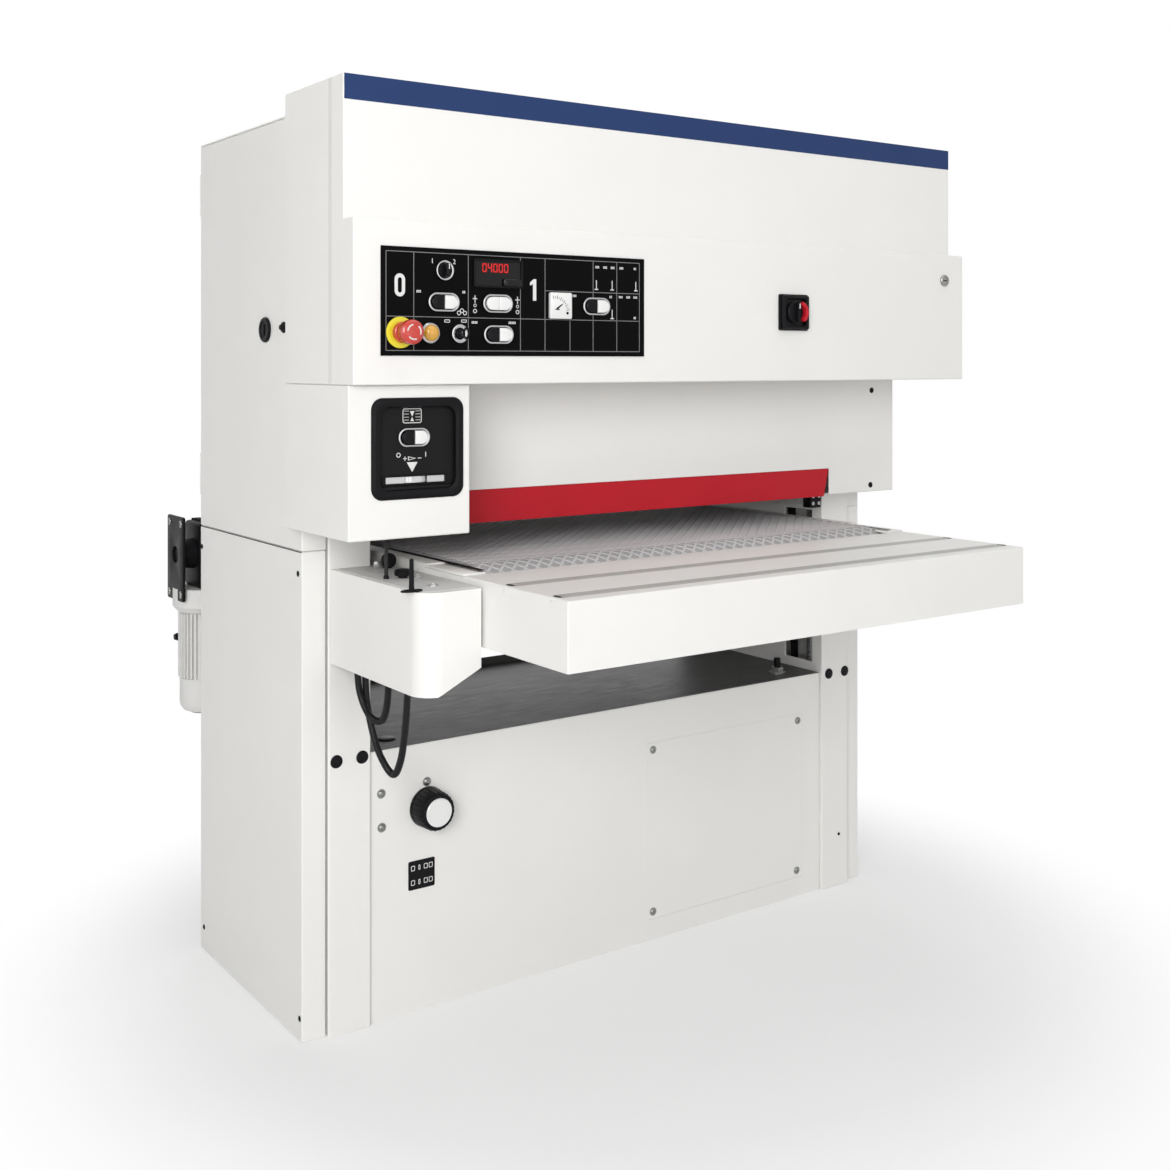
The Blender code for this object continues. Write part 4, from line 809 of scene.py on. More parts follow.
def make_display(face):
    x = (LEFT + 0.1922, LEFT + 0.2944)
    z = (1.3918, 1.4423)
    ring("display_frame", rounded_outline(x, z, 0.003, 3), inside(x, z, 0.004, 0.002, 3), 1, face - 0.005,
         face - 0.0001, "cap_black", "control_door", 0.001)
    prism("display_glass", inside(x, z, 0.003, 0.001, 1), 1, face - 0.0022, face - 0.0001, "glass",
          "control_door")
    block("display_ledge", (x[0] + 0.06, face - 0.008, z[0] + 0.003),
          (x[1] - 0.0045, face - 0.002, z[0] + 0.017), "glass", "control_door", 0.003, 4)
    wide, tall, half, front = 0.007, 0.0135, 0.0011, face - 0.0024
    bars = {"a": (0, wide, tall, tall), "g": (0, wide, tall / 2, tall / 2), "d": (0, wide, 0, 0),
            "f": (0, 0, tall / 2, tall), "b": (wide, wide, tall / 2, tall), "e": (0, 0, 0, tall / 2),
            "c": (wide, wide, 0, tall / 2)}
    base = z[0] + 0.0285
    for index, digit in enumerate("04000"):
        left = x[0] + 0.019 + index * 0.0112
        for segment in SEGMENTS[digit]:
            x0, x1, z0, z1 = bars[segment]
            block(f"digit_{index}_{segment}", (left + x0 - half, front, base + z0 - half),
                  (left + x1 + half, front + 0.0003, base + z1 + half), "digits", "control_door", 0)


def make_ammeter(face):
    x, z = (LEFT + 0.3516, LEFT + 0.3995), (1.3394, 1.3874)
    prism("ammeter_case", rounded_outline(x, z, 0.003, 3), 1, face - 0.0075, face - 0.0001, "cap_white",
          "control_door", 0.0015)
    drawn = (1, face - 0.0078, face - 0.0074, "fascia", "control_door")
    for index in range(11):
        angle = math.radians(98 - index * 8.5)
        near, far = (0.027, 0.031) if index % 2 else (0.026, 0.0325)
        along = Vector((math.cos(angle), math.sin(angle)))
        side = Vector((along.y, -along.x)) * 0.00045
        ends = [along * near - side, along * far - side, along * far + side, along * near + side]
        corners = [(x[0] + 0.01 + point.x, z[0] + 0.01 + point.y) for point in ends]
        if all(x[0] + 0.003 < px < x[1] - 0.003 and pz < z[1] - 0.003 for px, pz in corners):
            prism(f"ammeter_tick_{index}", corners, *drawn)
    needle = ((0.012, 0.019), (0.026, 0.0275), (0.027, 0.026), (0.015, 0.0165))
    prism("ammeter_needle", [(x[0] + px, z[0] + pz) for px, pz in needle], *drawn)
    line("ammeter_base", (x[0] + 0.01, x[0] + 0.02), (z[0] + 0.016, z[0] + 0.0176), face - 0.0076, "fascia")
    prism("ammeter_dot", circle((x[1] - 0.0105, z[0] + 0.0105), 0.0026), *drawn)


def make_lamp(face):
    place = Vector((LEFT + 0.1062, face, 1.3104))
    dome = [(-0.006 - 0.01 * math.sin(math.radians(a)), 0.0145 * math.cos(math.radians(a)))
            for a in range(0, 91, 10)]
    turned("lamp_rim", mm((-0.1, 18), (-4, 18), (-5.6, 16.5), (-5.6, 14)), 1, place, "chrome", "control_door",
           40)
    turned("lamp_lens", [(-0.0001, 0.0145)] + dome, 1, place, "amber", "control_door", 40)


def round_ring(name, centre, outer, inner, front, back, surface, radius):
    """A ring on the control door; front and back are measured forwards from centre."""
    middle = (centre.x, centre.z)
    ring(name, circle(middle, outer, 48), circle(middle, inner, 48), 1, centre.y - front, centre.y - back,
         surface, "control_door", radius)


def make_turning_controls():
    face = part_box("control_fascia")[0].y
    make_estop(Vector((LEFT + 0.0484, face, 1.3106)))
    make_selector(Vector((LEFT + 0.1335, face, 1.419)))
    make_key(Vector((LEFT + 0.1634, face, 1.3098)))


def make_estop(centre):
    round_ring("estop_collar", centre, 0.0268, 0.0114, 0.004, 0.0001, "estop_yellow", 0.001)
    round_ring("estop_neck", centre, 0.016, 0.0114, 0.0105, 0.0039, "estop_red", 0.0004)
    profile = mm((7.8, 0), (7.8, 10.5), (-16.8, 10.5), (-16.8, 16.5), (-10.4, 16.5), (-10.4, 18.5),
                 (-18, 18.5), (-19, 16.8), (-24, 16.5), (-30, 18.5), (-33, 20.5), (-44, 21.2), (-48, 20.3),
                 (-51, 17), (-51.8, 11), (-51.6, 0))
    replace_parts(turned("estop_mushroom", profile, 1, centre, "estop_red", "estop", 48), "estop_button")
    middle = (centre.x, centre.z)
    for index in range(3):
        start = 100 + 120 * index
        outline = arc(middle, 0.0135, start, start + 70, 10) + arc(middle, 0.0112, start + 70, start, 10)
        prism(f"estop_arrow_{index}", outline, 1, centre.y - 0.0522, centre.y - 0.0512, "print", "estop")


def make_selector(centre):
    round_ring("selector_rim", centre, 0.0175, 0.0135, 0.0064, 0.0001, "chrome", 0.0014)
    knob = turned("selector_body", mm((-0.2, 13), (-7, 13), (-8.5, 12), (-8.5, 0)), 1, centre, "cap_black",
                  "selector", 36)
    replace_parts(knob, "selector_knob")
    block("selector_grip", centre + Vector((-0.0036, -0.02, -0.0115)),
          centre + Vector((0.0036, -0.007, 0.0115)), "cap_black", "selector", 0.0018, 3)
    block("selector_pointer", centre + Vector((-0.0008, -0.0203, 0.002)),
          centre + Vector((0.0008, -0.0198, 0.0105)), "cap_white", "selector", 0)


def make_key(centre):
    round_ring("key_rim", centre, 0.0165, 0.01, 0.0062, 0.0001, "chrome", 0.0014)
    barrel = turned("key_barrel", mm((-0.2, 8.8), (-8.5, 8.8), (-9.5, 7.8), (-9.5, 0)), 1, centre, "cap_black",
                    "key", 32)
    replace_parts(barrel, "key_switch")
    block("key_blade", centre + Vector((-0.0011, -0.018, -0.0035)), centre + Vector((0.0011, -0.009, 0.0035)),
          "steel", "key", 0.0003)
    bow = (centre.y - 0.0265, centre.z)
    ring("key_bow", circle(bow, 0.0105, 30), circle(bow, 0.0065, 30), 0, centre.x - 0.0013, centre.x + 0.0013,
         "cap_black", "key", 0.0003)


def make_main_switch():
    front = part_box("control_door")[0].y
    x, z = LEFT + 0.9625, 1.363
    prism("main_switch_plate", around(x, z, 0.0405, 0.0375, 0.004, 4), 1, front - 0.005, front - 0.0001,
          "cap_black", "control_door", 0.0012)
    ring("main_switch_rim", around(x, z, 0.037, 0.0345, 0.003, 4), around(x, z, 0.029, 0.0285, 0.006, 4), 1,
         front - 0.0115, front - 0.0049, "cap_black", "control_door", 0.001)
    disc = turned("main_switch_disc", mm((-5.1, 23.8), (-12.5, 23.8), (-14, 22.4), (-14, 0)), 1, (x, front, z),
                  "black", "main_switch", 48)
    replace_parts(disc, "main_switch_handle")
    grip = arc((x, z), 0.0228, -58, 70, 18) + arc((x, z), 0.015, 70, -58, 18)
    prism("main_switch_grip", grip, 1, front - 0.0262, front - 0.0138, "red", "main_switch", 0.002, 3)
    block("main_switch_bar", (x - 0.004, front - 0.0225, z - 0.0195), (x + 0.004, front - 0.0138, z + 0.0195),
          "black", "main_switch", 0.0015)
    block("main_switch_pointer", (x - 0.0012, front - 0.0228, z + 0.008),
          (x + 0.0012, front - 0.0222, z + 0.018), "cap_white", "main_switch", 0)
    catch = Vector((LEFT + 1.433, front, 1.445))
    turned("control_door_catch", mm((-0.1, 13), (-3, 13), (-4.5, 11.8), (-4.5, 8.5), (-3, 7.8), (-3, 0)), 1,
           catch, "zinc", "control_door", 36)
    # the catch's slot is a black bar: painted shade inside the slot
    block("control_door_catch_slot_shade", catch + Vector((-0.0065, -0.0036, -0.0012)),
          catch + Vector((0.0065, -0.0028, 0.0012)), "black", "control_door", 0)


def make_pressure_knob():
    centre = Vector((LEFT + 0.262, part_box("base_frame")[0].y, 0.392))
    sides = 96
    sections = ((-0.0004, 0.036, 0), (-0.003, 0.0385, 0.001), (-0.038, 0.0375, 0.0014), (-0.043, 0.035, 0.0006),
                (-0.0445, 0.031, 0))
    grip = knurled("pressure_knob_grip", centre, 1, sections, sides,
                   lambda step: 0.5 + 0.5 * math.cos(48 * math.pi * step / sides), "black", "pressure_knob", 40)
    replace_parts(grip, "pressure_knob")
    turned("pressure_knob_cap", mm((-44, 27.5), (-46.2, 27.5), (-47.4, 26.2), (-47.8, 0)), 1, centre,
           "cap_white", "pressure_knob", 56)
    turned("pressure_knob_rose", [(-0.0001, 0.04), (-0.0003, 0.04)], 1, centre, "zinc", "frame", 48)


# ---- thickness box

def make_thickness_box():
    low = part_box("thickness_box")[0]
    x, z = (LEFT + 0.012, LEFT + 0.18), (1.03, 1.193)
    face = low.y + 0.008
    ring("thickness_window_rim", inside(x, z, -0.0062, 0.0212, 10), inside(x, z, 0.0105, 0.019, 10), 1,
         low.y - 0.003, face - 0.0001, "cap_black", "frame", 0.0032)
    paint("thickness_panel", "inset")
    make_double_button("thickness", LEFT + 0.0905, 1.13, face, "thickness_button_down", "thickness_button_up")
    make_thickness_marks(LEFT + 0.0888, face)
    make_wheel(face)
    block("thickness_ledge", (x[0] + 0.0095, face - 0.0075, 1.0385), (x[1] - 0.0095, face - 0.0001, 1.0465),
          "cap_black", "frame", 0.003, 3)
    ring("thickness_slot_rim", rounded_outline((LEFT + 0.03, LEFT + 0.156), (1.0475, 1.066), 0.004, 4),
         rounded_outline((LEFT + 0.0325, LEFT + 0.1535), (1.0512, 1.0622), 0.002, 4), 1, face - 0.0022,
         face - 0.0001, "cap_black", "frame", 0.0006)
    for side, start, end in (("left", 0.033, 0.0735), ("right", 0.1185, 0.153)):
        block(f"thickness_scale_{side}", (LEFT + start, face + 0.0006, 1.0502),
              (LEFT + end, face + 0.002, 1.0632), "bright", "frame", 0)
    gauge = at(0.08, -0.17, 0)
    turned("gauge_rod", rod(0.8765, 1.075, 0.0035), 2, gauge, "rubber", "table", 16)
    turned("gauge_rod_foot", mm((875.2, 0), (875.2, 5), (880, 5), (882, 3.6)), 2, gauge, "black", "table", 20)


def make_thickness_marks(centre, face):
    """The printed signs round the thickness button; shapes are measured from centre."""
    printed = {"surface": "print", "body": "frame"}

    def shape(*points):
        return [(centre + x, z) for x, z in points]

    flat("thickness_icon_frame", rounded_outline((centre - 0.0185, centre + 0.0185), (1.1545, 1.18), 0.004, 4),
         face, rounded_outline((centre - 0.0172, centre + 0.0172), (1.1558, 1.1787), 0.003, 4), **printed)
    for index, z in enumerate((1.16, 1.165, 1.1705, 1.1755)):
        for side in (-1, 1):
            xs = sorted((centre + side * 0.0065, centre + side * 0.016))
            line(f"thickness_icon_bar_{index}_{side + 1}", xs, (z - 0.0004, z + 0.0004), face, **printed)
    flat("thickness_icon_arrow", shape((-0.0045, 1.1755), (0, 1.166), (0.0045, 1.1755)), face, **printed)
    flat("thickness_icon_foot", shape((-0.0035, 1.158), (0.0035, 1.158), (0, 1.165)), face, **printed)
    zero = (centre - 0.0265, 1.1)
    flat("thickness_mark_zero", circle(zero, 0.0042), face, circle(zero, 0.0028), **printed)
    signs = (
        # name, start, end, low, high
        ("plus_a", -0.0175, -0.0105, 1.093, 1.0943), ("plus_b", -0.0147, -0.0133, 1.09, 1.0973),
        ("minus", 0.011, 0.018, 1.093, 1.0943), ("one", 0.0258, 0.0272, 1.0955, 1.104),
    )
    for name, start, end, z_low, z_high in signs:
        line("thickness_mark_" + name, (centre + start, centre + end), (z_low, z_high), face, **printed)
    flat("thickness_mark_wedge", shape((-0.008, 1.09), (0.008, 1.0936), (-0.008, 1.0972)), face,
         shape((-0.0066, 1.0914), (0.004, 1.0936), (-0.0066, 1.0958)), **printed)
    flat("thickness_mark_arrow", shape((-0.0105, 1.087), (0, 1.07), (0.0105, 1.087)), face, **printed)


def make_wheel(face):
    """The setting wheel: a knurled rim that shows through its slot."""
    centre = Vector((LEFT + 0.096, face + 0.045, 1.0567))
    sections = ((-0.006, 0.044, 0), (-0.0052, 0.0458, 0.0004), (0.0052, 0.0458, 0.0004), (0.006, 0.044, 0))
    wheel = knurled("thickness_wheel_rim", centre, 2, sections, 240, lambda step: step % 2, "bright",
                    "thickness_wheel", 20)
    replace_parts(wheel, "thickness_wheel")
    turned("thickness_wheel_axle", rod(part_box("thickness_wheel")[0].z, centre.z + 0.02, 0.006), 2,
           (centre.x, centre.y, 0), "steel", "thickness_wheel", 24)


# ---- guard and head

GUARD_SLANT = 0.015     # of the guard's end, over its height


def make_guard():
    soften("red_guard", 0.0, "red", 0.0006)
    low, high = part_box("red_guard")
    built = bmesh.new()
    outline = [(low.y + 0.0028, low.z + 0.002), (low.y + 0.03, low.z + 0.012), (low.y + 0.03, high.z - 0.004),
               (low.y + 0.0028, high.z - 0.001)]
    rings = []
    for x in (high.x - 0.0006, high.x - 0.0036):
        rings.append([built.verts.new((x - GUARD_SLANT * (high.z - z) / (high.z - low.z), y, z))
                      for y, z in outline])
    skin(built, rings)
    from_bmesh("guard_end_flange", built, "red", "red_guard")
    block("guard_switch_body", at(1.2915, 0.004, 0.914), at(1.3295, 0.03, 0.95), "black", "frame", 0.0015)
    block("guard_switch_arm", at(1.248, 0.006, 0.944), at(1.295, 0.022, 0.951), "black", "frame", 0.001)
    screws("guard_switch_screw", [at(x, 0.004, z) for z in (0.941, 0.924) for x in (1.3005, 1.3195)], 1, -1,
           "bright", 0.0032)


def loop_points(lower, lower_r, upper, upper_r, steps):
    lean = math.degrees(math.asin((lower_r - upper_r) / (upper[1] - lower[1])))
    return arc(lower, lower_r, 180 - lean, 360 + lean, steps) + arc(upper, upper_r, lean, 180 - lean, steps)


def make_loop(name, node, x, outer, inner, surface, body):
    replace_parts(ring(name, outer, inner, 0, x[0], x[1], surface, body), node)


def make_head():
    low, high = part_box("left_column")
    middle = (low.y + high.y) / 2
    low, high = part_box("abrasive_belt")
    thick, contact_r, tension_r = 0.0015, 0.07, 0.045
    rollers = (middle, low.z + thick + contact_r), (middle, high.z - thick - tension_r)
    make_loop("abrasive_belt_loop", "abrasive_belt", (low.x, high.x),
              loop_points(rollers[0], contact_r + thick, rollers[1], tension_r + thick, 40),
              loop_points(rollers[0], contact_r, rollers[1], tension_r, 40), "abrasive", "frame")
    low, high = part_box("drive_belt")
    motor_r, head_r, thick = 0.075, 0.055, 0.008
    pulleys = (middle, low.z + motor_r), (middle, high.z - head_r)
    make_loop("drive_belt_loop", "drive_belt", (low.x, high.x),
              loop_points(pulleys[0], motor_r, pulleys[1], head_r, 40),
              loop_points(pulleys[0], motor_r - thick, pulleys[1], head_r - thick, 40), "rubber", "frame")
    for surface, nodes in (("white", ("table_bed",)), ("grey", ("head_beam", "main_motor")),
                           ("steel", ("tension_yoke", "tension_roller", "motor_pulley", "drive_roller")),
                           ("rubber", ("idler_roller", "contact_roller", "infeed_pressure_roller",
                                       "outfeed_pressure_roller"))):
        for node in nodes:
            paint(node, surface)


def make_screws():
    """Lifting screws with their 6 mm thread cut as a helix."""
    pitch, root, crest, sides = 0.006, 0.01, 0.0119, 24
    for node in [f"lift_screw_{side}_{place}" for side in ("left", "right") for place in ("front", "rear")]:
        low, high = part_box(node)
        x, y = (low.x + high.x) / 2, (low.y + high.y) / 2
        start, end = low.z + 0.012, high.z
        built = bmesh.new()
        rows = []
        count = int((end - start) / pitch * 4)
        for row in range(count + 1):
            height = start + (end - start) * row / count
            points = []
            for step in range(sides):
                angle = 2 * math.pi * step / sides
                phase = ((height - start) / pitch - step / sides) % 1.0
                radius = root + (crest - root) * min(1.0, max(0.0, 1.6 - abs(phase - 0.5) * 4.4))
                points.append(built.verts.new((x + radius * math.cos(angle), y + radius * math.sin(angle),
                              height)))
            rows.append(points)
        skin(built, rows)
        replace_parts(from_bmesh(node + "_thread", built, "steel", node, 50), node)
        turned(node + "_flange", [(low.z, 0.0), (low.z, 0.0195), (low.z + 0.0005, 0.02),
               (low.z + 0.0115, 0.02), (low.z + 0.012, 0.0195), (low.z + 0.012, 0.0)], 2, (x, y, 0), "steel",
               node, 32)


# ---- table

BELT_THICK = 0.0028     # of the feed belt, under its tread
TREAD_WIDE = 0.0265     # one diamond of the feed belt's tread
TREAD_LONG = 0.0265
TREAD_HIGH = 0.001
TREAD_THICK = 0.007


class BeltPath:
    """Side outline of the feed belt, walked by its length."""

    def __init__(self, front, rear, height, radius):
        self.front, self.rear, self.height, self.radius = front, rear, height, radius
        self.flat = rear - front
        self.turn = math.pi * radius
        self.length = 2 * (self.flat + self.turn)

    def stops(self):
        """Lengths at which a line laid on the belt has to bend."""
        found = []
        for start in (self.flat, 2 * self.flat + self.turn):
            found += [start + self.turn * step / 12 for step in range(13)]
        return found

    def at(self, along, lift_by=0.0):
        along %= self.length
        reach = self.radius + lift_by
        if along < self.flat:
            return self.front + along, self.height + reach
        along -= self.flat
        if along < self.turn:
            angle = math.pi / 2 - along / self.radius
            return self.rear + reach * math.cos(angle), self.height + reach * math.sin(angle)
        along -= self.turn
        if along < self.flat:
            return self.rear - along, self.height - reach
        along -= self.flat
        angle = -math.pi / 2 - along / self.radius
        return self.front + reach * math.cos(angle), self.height + reach * math.sin(angle)


def make_feed_belt():
    low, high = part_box("feed_belt")
    path = BeltPath(low.y + 0.062, high.y - 0.062, high.z - 0.062, 0.061)
    outline = []
    inner = []
    parts = ((0, path.flat, 24), (path.flat, path.turn, 32), (path.flat + path.turn, path.flat, 24),
             (2 * path.flat + path.turn, path.turn, 32))
    for start, length, steps in parts:
        for step in range(steps):
            outline.append(path.at(start + length * step / steps))
            inner.append(path.at(start + length * step / steps, -BELT_THICK))
    make_loop("feed_belt_band", "feed_belt", (low.x, high.x), outline, inner, "belt", "table")
    make_tread(path, (high.x - low.x) / 2 - 0.004)
    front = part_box("table_bed")[0].y
    for (side, way), edge in zip(SIDES, (low.x, high.x)):
        xs = sorted((edge + way * 0.0025, way * 0.559))
        block(f"belt_corner_cover_{side}", (xs[0], front + 0.0005, 0.8855), (xs[1], FRONT - 0.152, 0.89),
              "white", "table", 0.001)
        # black strips on the rails along the belt's edges: painted shade of the gap between belt and rail
        xs = sorted((edge + way * 0.003, edge + way * 0.014))
        block(f"belt_edge_gap_shade_{side}", (xs[0], front + 0.002, 0.8928), (xs[1], 0.52, 0.8934), "black",
              "table", 0)


def make_tread(path, half):
    """Two sets of slanting ribs round the belt, which cross as diamonds."""
    built = bmesh.new()
    count = round(path.length / TREAD_LONG)
    long = path.length / count
    reach = 2 * half / TREAD_WIDE * long
    stops = [lap * path.length + stop for lap in (0, 1) for stop in path.stops()]
    for way in (-1, 1):
        for number in range(count):
            start = number * long
            end = start + reach
            bends = [stop for stop in stops if start + 1e-4 < stop < end - 1e-4]
            previous = None
            for along in [start] + bends + [end]:
                x = way * (-half + (along - start) / reach * 2 * half)
                section = []
                for offset, rise in ((-0.5, 0.0), (-0.22, TREAD_HIGH), (0.22, TREAD_HIGH), (0.5, 0.0)):
                    y, z = path.at(along, rise)
                    section.append(built.verts.new((x + offset * TREAD_THICK, y, z)))
                if previous:
                    for index in range(3):
                        built.faces.new((previous[index], previous[index + 1], section[index + 1],
                                        section[index]))
                previous = section
    from_bmesh("feed_belt_tread", built, "tread", "table", 50)


def make_apron_rollers():
    for node in ("apron_roller_front", "apron_roller_rear"):
        low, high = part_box(node)
        y, z = (low.y + high.y) / 2, (low.z + high.z) / 2
        radius = (high.z - low.z) / 2
        half = high.x - 0.0155
        roller = turned(node + "_tube", [(-half, 0.0), (-half, radius - 0.001), (-half + 0.001, radius),
                                         (half - 0.001, radius), (half, radius - 0.001), (half, 0.0)], 0,
                        (0, y, z), "roller_grey_and_shade", node, 64)
        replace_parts(roller, node)
        # the two strips of roller grey on the apron top, fore and aft of each roller, are painted shade of the
        # roller's curve
        for index, (near, far) in enumerate(((-0.015, -0.0066), (0.0066, 0.015))):
            block(f"{node}_band_{index}", (-half, y + near, 0.887), (half, y + far, 0.8873), "roller_grey_and_shade",
                  "table", 0)
        for label, way in SIDES:
            turned(f"{node}_{label}_pin", [(way * half, 0.0049), (way * (half + 0.0153), 0.0049)], 0,
                   (0, y, z), "white", node, 24)
            shadow = [(way * (half + 0.0045) + 0.0045 * px, y + 0.011 * py) for px, py in circle((0, 0), 1)]
            prism(f"{node}_{label}_shadow", shadow, 2, 0.8871, 0.8877, "black", "table")


def make_cable_box_fittings():
    low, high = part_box("cable_box")
    top = high.z
    deck = top + 0.0006
    prism("cable_box_deck", rounded_outline((low.x + 0.012, high.x - 0.002), (low.y + 0.02, high.y - 0.004),
          0.01, 4), 2, top - 0.001, deck, "box_deck", "table", 0.0003)
    places = ((0.138, -0.18), (0.11, -0.286), (0.143, -0.099))
    screws("cable_deck_screw", [at(x, y, deck) for x, y in places], 2, 1, "bright", 0.0072, "table")
    turned("height_stop_knob", mm((0, 8.5), (4, 8.5), (4.5, 15), (12, 15.5), (15, 13), (15.5, 0)), 2,
           at(0.11, -0.176, deck), "black", "table", 28)
    probe = at(0.05, -0.32, deck)
    outer, inner = ([(probe.x + wide * px, probe.y + deep * py) for px, py in circle((0, 0), 1, 36)]
                    for wide, deep in ((0.02, 0.011), (0.015, 0.007)))
    ring("probe_grommet", outer, inner, 2, probe.z, probe.z + 0.0026, "black", "table", 0.0008)
    turned("probe_rod", mm((0, 4.8), (30, 4), (54, 3.6), (56, 0)), 2, probe, "black", "table", 16)
    turned("side_stop_disc", mm((-6, 0), (-6, 12), (-4.5, 14), (4.5, 14), (6, 12), (6, 0)), 1,
           at(0.1414, -0.06, 0.8905), "black", "table", 36)
    block("side_stop_bracket", at(0.118, -0.05, top - 0.0005), at(0.136, -0.044, 0.889), "bright", "table",
          0.001)
    block("side_stop_arm", at(0.135, -0.053, top - 0.0005), at(0.148, -0.042, 0.895), "black", "table", 0.001)


# ---- feed motor

def make_gearmotor():
    low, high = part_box("drive_roller")
    y, z = (low.y + high.y) / 2, (low.z + high.z) / 2
    plate = ring("gearbox_flange", rounded_outline((y - 0.05, y + 0.05), (0.735, 0.92), 0.006, 4),
                 around(y, z, 0.019, 0.019, 0.0189, 4), 0, LEFT - 0.018, LEFT - 0.012, "black", "table", 0.0008)
    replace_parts(plate, "gearmotor")
    bolts = [(LEFT - 0.018, y + side, height) for height in (0.905, 0.75) for side in (-0.036, 0.036)]
    screws("gearbox_bolt", bolts, 0, -1, "zinc", 0.006, "table")
    x0, x1 = LEFT + 0.02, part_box("table_bed")[0].x - GAP
    foot = z - 0.075
    block("gearbox_housing", (x0, y - 0.05, foot), (x1, y + 0.05, z + 0.07), "black", "table", 0.008, 3)
    turned("gearbox_neck", [(LEFT - 0.0125, 0.03), (x0 + 0.004, 0.034)], 0, (0, y, z), "black", "table", 40)
    for index in range(5):
        rib = y - 0.036 + 0.018 * index
        block(f"gearbox_rib_{index}", (x0 + 0.012, rib - 0.002, z + 0.064),
              (x1 - 0.012, rib + 0.002, z + 0.0745), "black", "table", 0.001)
    x = LEFT + 0.05
    profiles = {
        "flange": [(0.708, 0.06), (0.72, 0.07), (foot, 0.07), (foot, 0.0)],
        "core": rod(0.556, 0.71, 0.05),
        "fan_cover": mm((484, 0), (484, 34), (488, 46), (498, 53), (506, 54.5), (560, 54.5), (560, 0)),
    }
    for name, profile in profiles.items():
        turned("feed_motor_" + name, profile, 2, (x, y, 0), "motor", "table", 48)
    built = bmesh.new()
    fins = 36
    for index in range(fins):
        turn = Matrix.Translation((x, y, 0)) @ Matrix.Rotation(2 * math.pi * index / fins, 4, "Z")
        verts = add_block(built, (0.048, -0.0012, 0.562), (0.0578, 0.0012, 0.704))
        bmesh.ops.transform(built, matrix=turn, verts=verts)
    from_bmesh("feed_motor_fins", built, "motor", "table")
    for index in range(3):
        radius = 0.012 + 0.01 * index
        turned(f"fan_grille_{index}", [(0.4832, radius), (0.4825, radius + 0.001), (0.4832, radius + 0.002)], 2,
               (x, y, 0), "black", "table", 40)
    block("feed_motor_terminal_box", (x - 0.035, y + 0.052, 0.61), (x + 0.035, y + 0.075, 0.69), "motor",
          "table", 0.003, 3)
    block("feed_motor_terminal_neck", (x - 0.028, y + 0.04, 0.618), (x + 0.028, y + 0.056, 0.682), "motor",
          "table", 0.002)
    turned("feed_motor_gland", mm((-35, 9), (-43, 9), (-43, 7.5), (-48, 7)), 0, (x, y + 0.063, 0.64), "black",
           "table", 6)


# ---- studio

def seen_rays(nodes_tree):
    """1 for the rays that show a background: camera, glossy and transmission."""
    rays = nodes_tree.nodes.new("ShaderNodeLightPath")
    value = rays.outputs["Is Camera Ray"]
    for name in ("Is Glossy Ray", "Is Transmission Ray"):
        either = nodes_tree.nodes.new("ShaderNodeMath")
        either.operation = "MAXIMUM"
        nodes_tree.links.new(value, either.inputs[0])
        nodes_tree.links.new(rays.outputs[name], either.inputs[1])
        value = either.outputs["Value"]
    return value


def make_floor_surface():
    """A pale floor that keeps its shadow near the object and goes to the background's white further off."""
    nodes = Nodes("pale_floor")
    nodes.tone(nodes.noise(2.0), (0.86, 0.86, 0.86), (0.88, 0.88, 0.88))
    nodes.fill(nodes.shader, {"Roughness": 0.9, "Specular IOR Level": 0.1})
    reach = nodes.add("ShaderNodeVectorMath", operation="LENGTH")
    nodes.wire(nodes.place, reach.inputs[0])
    fade = nodes.add("ShaderNodeMapRange", {"From Min": FADE_NEAR, "From Max": FADE_FAR, "To Min": FLOOR_GLOW,
                                            "To Max": 1.0}, interpolation_type="SMOOTHSTEP")
    nodes.wire(reach.outputs["Value"], fade.inputs["Value"])
    share = nodes.add("ShaderNodeMath", operation="MULTIPLY")
    nodes.wire(seen_rays(nodes.tree), share.inputs[0])
    nodes.wire(fade.outputs["Result"], share.inputs[1])
    glow = nodes.add("ShaderNodeEmission")
    mixed = nodes.add("ShaderNodeMixShader")
    nodes.wire(share.outputs["Value"], mixed.inputs["Fac"])
    nodes.wire(nodes.shader.outputs["BSDF"], mixed.inputs[1])
    nodes.wire(glow.outputs["Emission"], mixed.inputs[2])
    nodes.wire(mixed.outputs["Shader"], nodes.tree.nodes["Material Output"].inputs["Surface"])
    return nodes.material


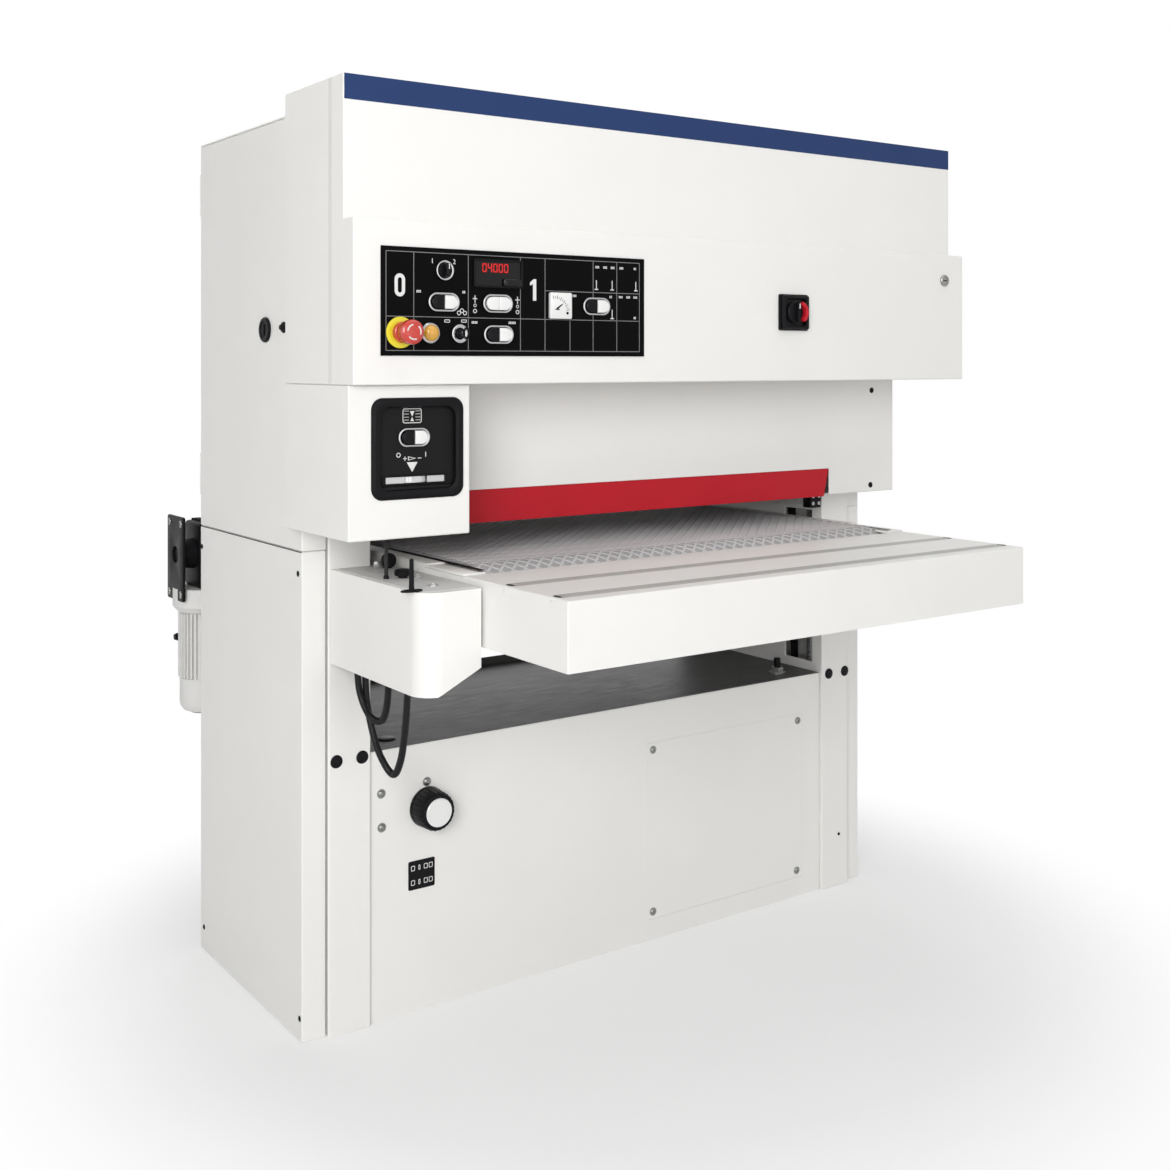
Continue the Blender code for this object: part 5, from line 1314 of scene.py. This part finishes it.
FADE_NEAR = 0.75        # m from the middle, where the floor starts to fade
FADE_FAR = 1.35
FLOOR_GLOW = 0.36
WORLD_LIGHT = 0.33
LAMPS = (
    # name, place, size, power, target
    ("key", (-3.8, -3.7, 2.3), 2.2, 165, (-0.3, 0.0, 1.1)),
    ("front", (0.2, -7.0, 1.7), 4.0, 67, (0.0, 0.0, 1.2)),
    ("top", (0.3, -1.5, 5.0), 4.0, 54, (0.0, 0.1, 0.5)),
    ("back", (3.0, 5.0, 3.0), 3.0, 60, (0.0, 0.2, 0.9)),
)


def make_studio():
    scene = bpy.context.scene
    scene.world = bpy.data.worlds.new("studio")
    scene.world.use_nodes = True
    tree = scene.world.node_tree
    background = tree.nodes["Background"]
    background.inputs["Color"].default_value = (1, 1, 1, 1)
    strength = tree.nodes.new("ShaderNodeMapRange")
    strength.inputs["To Min"].default_value = WORLD_LIGHT
    strength.inputs["To Max"].default_value = 1.0
    tree.links.new(seen_rays(tree), strength.inputs["Value"])
    tree.links.new(strength.outputs["Result"], background.inputs["Strength"])
    floor = bpy.data.meshes.new("floor")
    built = bmesh.new()
    add_block(built, (-14, -14, -0.02), (14, 14, 0))
    built.to_mesh(floor)
    built.free()
    floor.materials.append(make_floor_surface())
    add_object("floor", floor)
    for name, place, size, power, target in LAMPS:
        data = bpy.data.lights.new(name, "AREA")
        data.size = size
        data.energy = power
        lamp = add_object(name, data)
        lamp.location = place
        lamp.rotation_euler = (Vector(target) - Vector(place)).to_track_quat("-Z", "Y").to_euler()
    scene.view_settings.view_transform = "Standard"


make_camera()
SURFACES = make_materials()
make_conduit("short_conduit", SHORT_ROUTE)
make_conduit("long_conduit", LONG_ROUTE)
make_sheets()
make_blue_band()
make_side_seams()
make_side_fittings()
make_posts()
make_deck()
make_fascia()
make_turning_controls()
make_main_switch()
make_pressure_knob()
make_thickness_box()
make_guard()
make_head()
make_screws()
make_feed_belt()
make_apron_rollers()
make_cable_box_fittings()
make_gearmotor()
make_studio()
